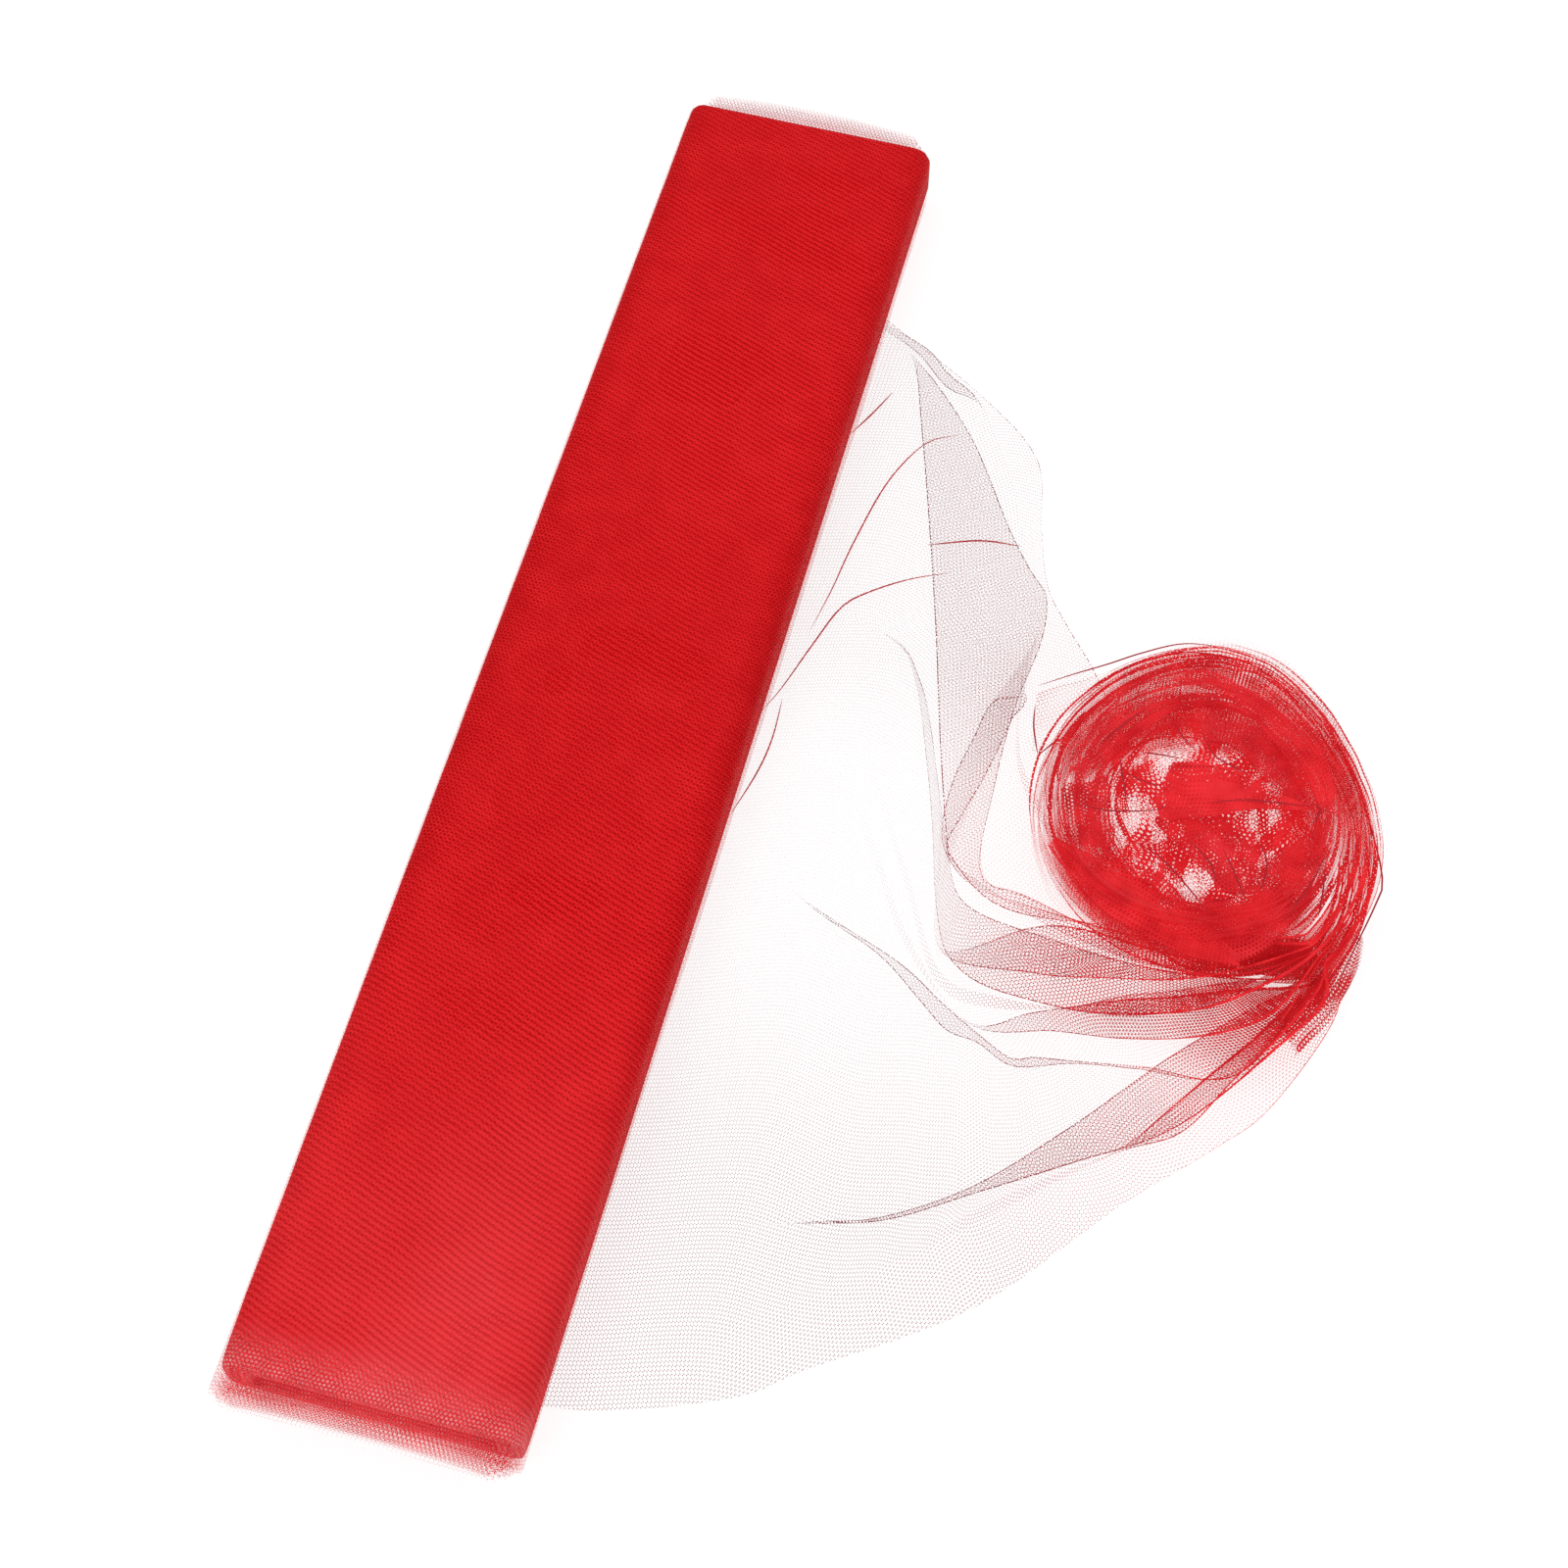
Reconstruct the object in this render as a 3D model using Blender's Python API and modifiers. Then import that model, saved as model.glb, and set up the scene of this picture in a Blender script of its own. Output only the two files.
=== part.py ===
"""Flat bolt of netting, with its free end drawn off, gathered and wound into a rosette.

Metres, +Z up. The origin is on the table, at the middle of the underside of the netting that lies
under the bolt. +Y runs along the bolt and +X points across it, towards the drawn netting.
A sheet of corrugated card, folded into a flat sleeve, is the core. Doubled netting is wound flat
round it. The netting leaves the winding at the bolt's lower left edge, lies on the table under the
bolt, fans out to the right and ends in a coil. The bolt tips up about that lower left edge.
"""
import math

import bmesh
import bpy
from mathutils import Vector

# ---- Driving dimensions -------------------------------------------------------------------------
GAP = 0.0003              # daylight between two pieces that touch

# The core board: one sheet of corrugated card, folded into a flat sleeve with a double web
BOARD_WIDTH = 0.104
BOARD_HEIGHT = 0.014
CALIPER = 0.004           # thickness of the corrugated card
LINER = 0.0004            # thickness of its outer and inner paper
MEDIUM = 0.0003           # thickness of its fluted paper
FLUTE_PITCH = 0.0078
CREASE_RADIUS = 0.0024    # of the card's middle line at a fold
WEB_GAP = 0.0006          # between the two halves of the web

# The tapes
TAPE = 0.0002             # thickness of both tapes
SEAM_TAPE_WIDTH = 0.048
SEAM_TAPE_INSET = 0.010   # the seam tape stops this far short of the board's ends
START_TAPE_WIDTH = 0.019
START_TAPE_INSET = 0.022
START_TAPE_X = -0.026     # middle of the strip under the board

# The netting
FOLDED_WIDTH = 0.686      # the cloth's width, folded double
OVERHANG = 0.0155         # how far the folded cloth runs past the board, at each end
EDGE_SCATTER = 0.007      # how far the turns' edges wander past it, at each end
WINDING_FACE = 0.0094     # build-up of turns over and under the board
WINDING_SIDE = 0.0117     # build-up of turns at the board's long edges
BOLT_CORNER = 0.013       # radius of the winding's long corners
NET_LAYER = 0.0012        # the netting that lies on the table

# The drawn netting's fan. Each edge is a chord with a bulge: share along it, distance outside it
FAN_NEAR_INSET = 0.029    # at the bolt's right edge, the fan is this much narrower than the cloth
FAN_FAR_INSET = 0.078
FAN_NEAR_BULGE = ((0.19, 0.038), (0.48, 0.051), (0.75, 0.047), (0.91, 0.026))
FAN_FAR_BULGE = ((0.16, -0.002), (0.36, 0.005), (0.58, 0.029), (0.79, 0.019))

# The rosette that the gathered end is wound into
COIL_REACH = 0.2055       # from the bolt's right edge to the coil's centre
COIL_Y = 0.012
COIL_RADIUS = 0.074
COIL_WALL = 0.034         # radial width of the coil's turns
COIL_HEIGHT = 0.042
COIL_ROUND = 0.012        # radius of the rounds on the coil's own section and on the heart
HEART_HEIGHT = 0.036      # the crumpled end that fills the coil
STRAND_WIDTH = 0.012      # the loose last turn outside the coil
STRAND_HEIGHT = 0.030
STRAND_START = -42.0      # degrees round the coil, where the fan gathers into it
STRAND_END = 120.0
FAN_TIP = -20.0           # degrees, where the fan's near edge meets the loose turn
FAN_FAR_MEET = 130.0      # degrees, where its far edge meets the coil

# How finely curves are cut
CORNER_STEPS = 7
CREASE_STEPS = 5
FLUTE_STEPS = 8
TURN_STEPS = 40

# ---- Sizes worked out from them -----------------------------------------------------------------
HOLE_GAP = 2 * GAP + TAPE                       # room for a tape between the board and the turns
BOLT_WIDTH = BOARD_WIDTH + 2 * (HOLE_GAP + WINDING_SIDE)
BOLT_HEIGHT = BOARD_HEIGHT + 2 * (HOLE_GAP + WINDING_FACE)
BOLT_LENGTH = FOLDED_WIDTH + 2 * EDGE_SCATTER
BOARD_LENGTH = FOLDED_WIDTH - 2 * OVERHANG
BOLT_BOTTOM = NET_LAYER + GAP
BOARD_BOTTOM = BOLT_BOTTOM + WINDING_FACE + HOLE_GAP
BOARD_TOP = BOARD_BOTTOM + BOARD_HEIGHT
BOLT_MIDDLE = BOLT_BOTTOM + BOLT_HEIGHT / 2

COIL_CENTRE = (BOLT_WIDTH / 2 + COIL_REACH, COIL_Y)
HEART_RADIUS = COIL_RADIUS - COIL_WALL - GAP
STRAND_INNER = COIL_RADIUS + GAP
STRAND_OUTER = STRAND_INNER + STRAND_WIDTH

# The bolt turns about the centre of its lower left corner's round, so the corner never sinks
PIVOT = Vector((-BOLT_WIDTH / 2 + BOLT_CORNER, 0.0, BOLT_BOTTOM + BOLT_CORNER))

# The folded sheet's middle line, from the foot of one web round the sleeve to the other foot
WEB_X = (CALIPER + WEB_GAP) / 2
WEB_FOOT = BOARD_BOTTOM + CALIPER + GAP
SHEET_HALF = (BOARD_WIDTH - CALIPER) / 2
SHEET_RISE = BOARD_HEIGHT - CALIPER
WEB_RUN = BOARD_TOP - CALIPER / 2 - CREASE_RADIUS - WEB_FOOT
HALF_PANEL_RUN = SHEET_HALF - WEB_X - 2 * CREASE_RADIUS
SIDE_RUN = SHEET_RISE - 2 * CREASE_RADIUS
PANEL_RUN = 2 * SHEET_HALF - 2 * CREASE_RADIUS
SHEET_RUNS = (WEB_RUN, HALF_PANEL_RUN, SIDE_RUN, PANEL_RUN, SIDE_RUN, HALF_PANEL_RUN, WEB_RUN)


# ---- Materials and objects ----------------------------------------------------------------------
def make_material(name, colour, roughness):
    """A plain Principled material."""
    material = bpy.data.materials.new(name)
    material.use_nodes = True
    shader = material.node_tree.nodes["Principled BSDF"]
    shader.inputs["Base Color"].default_value = (*colour, 1.0)
    shader.inputs["Roughness"].default_value = roughness
    shader.inputs["Metallic"].default_value = 0.0
    return material


def add_part(name, data, collection, material, parent=None):
    """Links one sub-part, placed about its parent's own place."""
    part = bpy.data.objects.new(name, data)
    data.materials.append(material)
    collection.objects.link(part)
    if parent is not None:
        part.parent = parent
        part.location = -parent.location
    return part


def mesh_from_bmesh(name, shape):
    """Turns a bmesh into a mesh, and frees it."""
    mesh = bpy.data.meshes.new(name)
    shape.to_mesh(mesh)
    shape.free()
    return mesh


def box_mesh(name, size, middle):
    """A box of the given size about a point."""
    shape = bmesh.new()
    bmesh.ops.create_cube(shape, size=1.0)
    for vertex in shape.verts:
        vertex.co = Vector(c * s for c, s in zip(vertex.co, size)) + Vector(middle)
    return mesh_from_bmesh(name, shape)


def turn_profile(part):
    """Turns a profile about Z into a closed solid."""
    screw = part.modifiers.new("turn", "SCREW")
    screw.angle = 2 * math.pi
    screw.steps = TURN_STEPS
    screw.render_steps = TURN_STEPS
    screw.use_merge_vertices = True
    screw.merge_threshold = 0.0001


def flat_curve(name, outlines, thickness):
    """A filled 2D curve: each outline is a closed loop of points, and the second is a hole."""
    curve = bpy.data.curves.new(name, "CURVE")
    curve.dimensions = "2D"
    curve.fill_mode = "BOTH"
    curve.extrude = thickness / 2
    for points in outlines:
        spline = curve.splines.new("POLY")
        spline.points.add(len(points) - 1)
        for point, (x, y) in zip(spline.points, points):
            point.co = (x, y, 0.0, 1.0)
        spline.use_cyclic_u = True
    return curve


# ---- Outlines -----------------------------------------------------------------------------------
def on_circle(centre, radius, degrees):
    """The point at an angle on a circle."""
    angle = math.radians(degrees)
    return (centre[0] + radius * math.cos(angle), centre[1] + radius * math.sin(angle))


def arc(centre, radius, start, end, steps):
    """Points on an arc, angles in degrees."""
    turn = (end - start) / steps
    return [on_circle(centre, radius, start + turn * step) for step in range(steps + 1)]


def rounded_rectangle(width, height, radius):
    """An anticlockwise outline about the origin."""
    across, up = width / 2 - radius, height / 2 - radius
    corners = ((across, up), (-across, up), (-across, -up), (across, -up))
    points = []
    for index, corner in enumerate(corners):
        points += arc(corner, radius, 90 * index, 90 * (index + 1), CORNER_STEPS)
    return points


def rectangle(width, height):
    """A sharp-cornered outline about the origin."""
    return [(width / 2, height / 2), (-width / 2, height / 2),
            (-width / 2, -height / 2), (width / 2, -height / 2)]


def smooth_run(points, steps=5):
    """A Catmull-Rom curve through the points, ends included."""
    places = [Vector(point) for point in points]
    places = [2 * places[0] - places[1]] + places + [2 * places[-1] - places[-2]]
    run = []
    for a, b, c, d in zip(places, places[1:], places[2:], places[3:]):
        for step in range(steps):
            t = step / steps
            spot = 0.5 * (2 * b + (c - a) * t + (2 * a - 5 * b + 4 * c - d) * t ** 2
                          + (3 * b - a - 3 * c + d) * t ** 3)
            run.append(tuple(spot))
    run.append(tuple(places[-2]))
    return run


def bulged_run(start, end, bulges):
    """A smooth run from start to end that stands out to the right of the chord between them."""
    start, end = Vector(start), Vector(end)
    chord = end - start
    outward = Vector((chord.y, -chord.x)).normalized()
    middle = [start + chord * share + outward * out for share, out in bulges]
    return smooth_run([start, *middle, end])


def fan_outline():
    """The netting on the table: under the bolt, out to the right and up to the coil."""
    right = BOLT_WIDTH / 2
    near_corner = (right, -FOLDED_WIDTH / 2 + FAN_NEAR_INSET)
    far_corner = (right, FOLDED_WIDTH / 2 - FAN_FAR_INSET)
    outside = STRAND_OUTER + GAP
    stop = STRAND_START - math.degrees(2 * GAP / STRAND_INNER)
    near_edge = bulged_run(near_corner, on_circle(COIL_CENTRE, outside, FAN_TIP), FAN_NEAR_BULGE)
    round_strand = arc(COIL_CENTRE, outside, FAN_TIP, stop, 5)[1:]
    round_coil = arc(COIL_CENTRE, STRAND_INNER, stop, FAN_FAR_MEET - 360, 24)
    far_edge = bulged_run(round_coil[-1], far_corner, FAN_FAR_BULGE)[1:]
    under_bolt = [(PIVOT.x, FOLDED_WIDTH / 2), (PIVOT.x, -FOLDED_WIDTH / 2)]
    return near_edge + round_strand + round_coil + far_edge + under_bolt


# ---- The corrugated core board ------------------------------------------------------------------
def sheet_stations(step):
    """Along the folded sheet's middle line: place, outward direction and distance to a crease."""
    place = Vector((-WEB_X, WEB_FOOT))
    heading = math.pi / 2
    stations = []
    for index, run in enumerate(SHEET_RUNS):
        forward = Vector((math.cos(heading), math.sin(heading)))
        outward = Vector((forward.y, -forward.x))
        count = max(1, round(run / step))
        for station in range(count + 1):
            along = run * station / count
            stations.append((place + forward * along, outward, min(along, run - along)))
        place = place + forward * run
        if index < len(SHEET_RUNS) - 1:
            centre = place - outward * CREASE_RADIUS
            for turn in range(1, CREASE_STEPS + 1):
                angle = heading + math.pi / 2 * turn / CREASE_STEPS
                outward = Vector((math.sin(angle), -math.cos(angle)))
                if turn < CREASE_STEPS:
                    stations.append((centre + outward * CREASE_RADIUS, outward, 0.0))
            place = centre + outward * CREASE_RADIUS
            heading += math.pi / 2
    return stations


def liner_profile(offset):
    """A smooth ply, a set distance outside the middle line."""
    return [place + outward * offset for place, outward, _ in sheet_stations(BOARD_WIDTH)]


def fluting_profile():
    """The wavy middle ply, crushed flat at each crease."""
    swing = CALIPER / 2 - LINER - GAP - MEDIUM / 2
    profile = []
    travelled = 0.0
    last = None
    for place, outward, to_crease in sheet_stations(FLUTE_PITCH / FLUTE_STEPS):
        if last is not None:
            travelled += (place - last).length
        last = place
        rise = min(1.0, to_crease / (FLUTE_PITCH / 2))
        fade = rise * rise * (3 - 2 * rise)
        wave = math.cos(2 * math.pi * travelled / FLUTE_PITCH)
        profile.append(place + outward * swing * fade * wave)
    return profile


def add_ply(name, profile, thickness, collection, material, parent):
    """Runs a profile along the bolt as an open sheet, and thickens it into paper."""
    shape = bmesh.new()
    ends = []
    for y in (-BOARD_LENGTH / 2, BOARD_LENGTH / 2):
        ends.append([shape.verts.new((point.x, y, point.y)) for point in profile])
    near, far = ends
    for k in range(len(profile) - 1):
        shape.faces.new((near[k], near[k + 1], far[k + 1], far[k]))
    ply = add_part(name, mesh_from_bmesh(name, shape), collection, material, parent)
    paper = ply.modifiers.new("paper", "SOLIDIFY")
    paper.thickness = thickness
    paper.offset = 0.0
    paper.use_even_offset = True


def build_board(collection, material, parent):
    """The folded board's three glued plies."""
    liner_offset = (CALIPER - LINER) / 2
    add_ply("core_outer_liner", liner_profile(liner_offset), LINER, collection, material, parent)
    add_ply("core_fluting", fluting_profile(), MEDIUM, collection, material, parent)
    add_ply("core_inner_liner", liner_profile(-liner_offset), LINER, collection, material, parent)


def build_tapes(collection, seam_material, start_material, parent):
    """The paper tape over the board's seam, and the strip that holds the netting's first edge."""
    seam_size = (SEAM_TAPE_WIDTH, BOARD_LENGTH - 2 * SEAM_TAPE_INSET, TAPE)
    seam_middle = (0.0, 0.0, BOARD_TOP + GAP + TAPE / 2)
    seam = box_mesh("core_seam_tape", seam_size, seam_middle)
    add_part("core_seam_tape", seam, collection, seam_material, parent)
    start_size = (START_TAPE_WIDTH, BOARD_LENGTH - 2 * START_TAPE_INSET, TAPE)
    start_middle = (START_TAPE_X, 0.0, BOARD_BOTTOM - GAP - TAPE / 2)
    start = box_mesh("starting_tape", start_size, start_middle)
    add_part("starting_tape", start, collection, start_material, parent)


# ---- The netting --------------------------------------------------------------------------------
def build_winding(collection, material, parent):
    """The wound turns: a round-cornered block along the bolt, open at both ends for the board."""
    outer = rounded_rectangle(BOLT_WIDTH, BOLT_HEIGHT, BOLT_CORNER)
    hole = rectangle(BOARD_WIDTH + 2 * HOLE_GAP, BOARD_HEIGHT + 2 * HOLE_GAP)
    curve = flat_curve("wound_netting", (outer, hole), BOLT_LENGTH)
    winding = add_part("wound_netting", curve, collection, material, parent)
    winding.rotation_euler = (math.pi / 2, 0.0, 0.0)
    winding.location = Vector((0.0, 0.0, BOLT_MIDDLE)) - parent.location


def build_drawn_netting(collection, material):
    """The netting that lies on the table, and the loose last turn that it gathers into."""
    sheet = flat_curve("drawn_netting", (fan_outline(),), NET_LAYER)
    add_part("drawn_netting", sheet, collection, material).location.z = NET_LAYER / 2
    inner = arc(COIL_CENTRE, STRAND_INNER, STRAND_START, STRAND_END, 18)
    outer = arc(COIL_CENTRE, STRAND_OUTER, STRAND_END, STRAND_START, 18)
    strand = flat_curve("gathered_strand", (inner + outer,), STRAND_HEIGHT)
    add_part("gathered_strand", strand, collection, material).location.z = STRAND_HEIGHT / 2


def add_turned(name, profile, closed, collection, material):
    """A turned solid on the coil's centre, from a profile of radius and height."""
    shape = bmesh.new()
    points = [shape.verts.new((radius, 0.0, height)) for radius, height in profile]
    for a, b in zip(points, points[1:]):
        shape.edges.new((a, b))
    if closed:
        shape.edges.new((points[-1], points[0]))
    solid = add_part(name, mesh_from_bmesh(name, shape), collection, material)
    solid.location = (*COIL_CENTRE, 0.0)
    turn_profile(solid)


def build_rosette(collection, material):
    """The coil of wound netting, and the crumpled end that fills its middle."""
    ring = rounded_rectangle(COIL_WALL, COIL_HEIGHT, COIL_ROUND)
    middle = (COIL_RADIUS - COIL_WALL / 2, COIL_HEIGHT / 2)
    around = [(middle[0] + x, middle[1] + z) for x, z in reversed(ring)]
    add_turned("rosette_coil", around, True, collection, material)
    shoulder = (HEART_RADIUS - COIL_ROUND, HEART_HEIGHT - COIL_ROUND)
    dome = [(0.0, HEART_HEIGHT), *reversed(arc(shoulder, COIL_ROUND, 0, 90, CORNER_STEPS)),
            (HEART_RADIUS, 0.0), (0.0, 0.0)]
    add_turned("rosette_heart", dome, False, collection, material)


# ---- Build --------------------------------------------------------------------------------------
def clear_scene():
    """Removes what the scene starts with."""
    for stray in list(bpy.data.objects):
        bpy.data.objects.remove(stray, do_unlink=True)


def build():
    """Makes every sub-part, the bolt's own ones under an empty on its turning axis."""
    clear_scene()
    collection = bpy.data.collections.new("fabric_bolt")
    bpy.context.scene.collection.children.link(collection)
    pivot = bpy.data.objects.new("bolt_turn_axis", None)
    pivot.location = PIVOT
    collection.objects.link(pivot)

    netting = make_material("red_netting", (0.62, 0.012, 0.02), 0.6)
    card = make_material("brown_card", (0.42, 0.27, 0.15), 0.85)
    seam_tape = make_material("paper_tape", (0.50, 0.34, 0.20), 0.6)
    start_tape = make_material("cream_tape", (0.78, 0.70, 0.52), 0.5)

    build_board(collection, card, pivot)
    build_tapes(collection, seam_tape, start_tape, pivot)
    build_winding(collection, netting, pivot)
    build_drawn_netting(collection, netting)
    build_rosette(collection, netting)


build()
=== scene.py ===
# %% [markdown]
# # A bolt of netting with its end drawn off
#
# Netting is sold folded in half and wound on a flat card board. Here a length has been
# drawn off underneath the bolt, pulled out into a fan, and rolled up into a loose rosette.
# The imported model gives every place and size: the bolt, the slab of drawn netting, the
# strand that gathers it and the ring of the rosette. This lesson dresses those solids in
# real cloth. First it opens that frame and keeps its box.

# %% Open the frame
from math import cos, pi, radians, sin, sqrt

import bmesh
import bpy
import numpy as np
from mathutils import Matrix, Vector, noise


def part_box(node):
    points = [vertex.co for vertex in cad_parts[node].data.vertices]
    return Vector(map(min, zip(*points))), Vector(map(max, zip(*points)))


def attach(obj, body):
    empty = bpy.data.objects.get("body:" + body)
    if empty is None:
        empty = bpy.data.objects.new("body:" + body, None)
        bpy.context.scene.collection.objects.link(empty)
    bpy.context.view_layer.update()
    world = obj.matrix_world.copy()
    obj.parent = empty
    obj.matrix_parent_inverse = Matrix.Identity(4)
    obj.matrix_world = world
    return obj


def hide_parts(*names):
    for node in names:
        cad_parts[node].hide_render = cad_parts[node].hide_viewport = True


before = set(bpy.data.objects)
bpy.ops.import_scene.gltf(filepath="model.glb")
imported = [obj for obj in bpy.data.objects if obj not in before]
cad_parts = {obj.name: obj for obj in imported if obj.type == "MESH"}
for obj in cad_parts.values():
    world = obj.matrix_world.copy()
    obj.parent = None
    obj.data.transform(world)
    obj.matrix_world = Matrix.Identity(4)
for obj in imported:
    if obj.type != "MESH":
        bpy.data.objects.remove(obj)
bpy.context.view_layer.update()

MM = 0.001
bolt_low, bolt_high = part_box("wound_netting")
slab_low, slab_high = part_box("drawn_netting")
ring_low, ring_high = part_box("rosette_coil")
board_low, board_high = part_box("core_outer_liner")
print("bolt", [round(n, 4) for n in bolt_high - bolt_low])
print("ring", [round(n, 4) for n in ring_high - ring_low])

# %% [markdown]
# ## Camera
# The object is seen from above and a little to the right of its near end. A camera is
# easiest to set up as a point to look at, two angles and a distance, because each of those
# can be changed without spoiling the others.

# %% Set up the camera
LOOK_AT = Vector((0.0817, -0.0066, 0.0))
TURNED = radians(15.07)
RAISED = radians(61.27)
DISTANCE = 1.2534
LENS = 62.6
back = Vector((sin(TURNED) * cos(RAISED), -cos(TURNED) * cos(RAISED), sin(RAISED)))
camera = bpy.data.objects.new("camera", bpy.data.cameras.new("camera"))
camera.data.lens = LENS
camera.data.sensor_width = 36.0
camera.data.clip_start = 0.02
camera.location = LOOK_AT + back * DISTANCE
camera.rotation_mode = "QUATERNION"
camera.rotation_quaternion = back.to_track_quat("Z", "Y")
bpy.context.scene.collection.objects.link(camera)
bpy.context.scene.camera = camera
print("camera stands at", [round(n, 3) for n in camera.location])

# %% [markdown]
# ## Floor and light
# One layer of netting is nearly nothing: it only shows as a faint veil on a bright
# ground. So the floor is pale and evenly bright, and the light is a wide soft sky with two
# large panels, which leaves hardly any shadow. The floor gives off a little light of
# its own, like a light table, and that keeps the ground white beside the bolt. The view
# transform is the plain one, so white stays white and the red stays strong. Many layers
# lie over each other, so a ray of light may pass through many of them.

# %% Lay the floor and hang the lights
SKY = 0.74
PANELS = (
    ("key_panel", (-0.9, -0.5, 1.9), 1.5, 11.0),
    ("fill_panel", (1.3, 0.7, 1.7), 1.6, 5.0),
)
FLOOR_REACH = 6.0
FLOOR_GLOW = 0.83
FLOOR_DROP = 0.0004
FLOOR_PAPER = (0.25, 0.25, 0.25, 1)
NET_LAYERS_SEEN = 128


def plain_material(name, colour, roughness):
    """A new Principled material and its shader node."""
    material = bpy.data.materials.new(name)
    material.use_nodes = True
    shader = material.node_tree.nodes["Principled BSDF"]
    shader.inputs["Base Color"].default_value = colour
    shader.inputs["Roughness"].default_value = roughness
    return material, shader


floor_mesh = bpy.data.meshes.new("floor")
signs = ((-1, -1), (1, -1), (1, 1), (-1, 1))
corners = [(x * FLOOR_REACH, y * FLOOR_REACH, -FLOOR_DROP) for x, y in signs]
floor_mesh.from_pydata(corners, [], [(0, 1, 2, 3)])
floor = bpy.data.objects.new("floor", floor_mesh)
bpy.context.scene.collection.objects.link(floor)
floor_material, floor_shader = plain_material("floor_paper", FLOOR_PAPER, 0.95)
floor_shader.inputs["Specular IOR Level"].default_value = 0.0
floor_shader.inputs["Emission Color"].default_value = (1, 1, 1, 1)
floor_shader.inputs["Emission Strength"].default_value = FLOOR_GLOW
floor_material.cycles.emission_sampling = "NONE"
floor_mesh.materials.append(floor_material)

world = bpy.data.worlds.new("soft_sky")
world.use_nodes = True
world.node_tree.nodes["Background"].inputs["Color"].default_value = (1, 1, 1, 1)
world.node_tree.nodes["Background"].inputs["Strength"].default_value = SKY
bpy.context.scene.world = world
for name, place, size, power in PANELS:
    panel = bpy.data.objects.new(name, bpy.data.lights.new(name, "AREA"))
    panel.data.size = size
    panel.data.energy = power
    panel.location = place
    panel.rotation_mode = "QUATERNION"
    panel.rotation_quaternion = (Vector(place) - LOOK_AT).to_track_quat("Z", "Y")
    bpy.context.scene.collection.objects.link(panel)
bpy.context.scene.view_settings.view_transform = "Standard"
bpy.context.scene.cycles.transparent_max_bounces = NET_LAYERS_SEEN
bpy.context.scene.cycles.use_denoising = False
print("lights:", len(PANELS), "panels and the sky")

# %% [markdown]
# ## The mesh of the net
# Netting is a mesh of six-sided holes. Its threads are far too fine to model over metres
# of cloth, so the holes are a mask in the material: a shader group finds the nearest cell
# centre on two interleaved grids, measures the distance to the cell's edge, and says
# thread where that is under half a thread. Places on the cloth come in metres from the
# piece's own map, so the holes are the same size everywhere. An attribute named cover
# makes threads wider where one modelled layer stands for several, as on a fold.

# %% Build the net group
NET_PITCH = 1.9 * MM
NET_THREAD = 0.054 * MM
KNOT_SWELL = 5.0
CELL_CORNERS = ((0.5, 0.2887, 0), (0, 0.5774, 0))
FAR_FROM_ZERO = 400.0


class Wires:
    """Adds nodes to a tree and links them: a socket is linked, and a number or a vector is set."""

    def __init__(self, tree):
        self.tree = tree

    def add(self, kind, *values, **settings):
        node = self.tree.nodes.new(kind)
        for key, value in settings.items():
            setattr(node, key, value)
        for spot, value in enumerate(values):
            self.put(node.inputs[spot], value)
        return node

    def put(self, socket, value):
        if isinstance(value, bpy.types.NodeSocket):
            self.tree.links.new(value, socket)
        elif value is not None:
            socket.default_value = value

    def math(self, operation, *values):
        return self.add("ShaderNodeMath", *values, operation=operation).outputs[0]

    def vector(self, operation, *values):
        node = self.add("ShaderNodeVectorMath", operation=operation)
        takes_scale = operation == "SCALE"
        self.put(node.inputs[0], values[0])
        if len(values) > 1:
            self.put(node.inputs["Scale" if takes_scale else 1], values[1])
        return node.outputs["Value" if operation in ("LENGTH", "DOT_PRODUCT") else "Vector"]

    def clip(self, value):
        return self.math("MINIMUM", self.math("MAXIMUM", value, 0.0), 1.0)

    def ramp(self, value, start, over):
        """0 up to the start, then rising to 1, where value has gone this far past it."""
        return self.clip(self.math("DIVIDE", self.math("SUBTRACT", value, start), over))

    def total(self, *parts):
        """The sum of some values, each times its own weight."""
        weighted = [self.math("MULTIPLY", value, weight) for value, weight in parts]
        result = weighted[0]
        for value in weighted[1:]:
            result = self.math("ADD", result, value)
        return result


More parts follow.
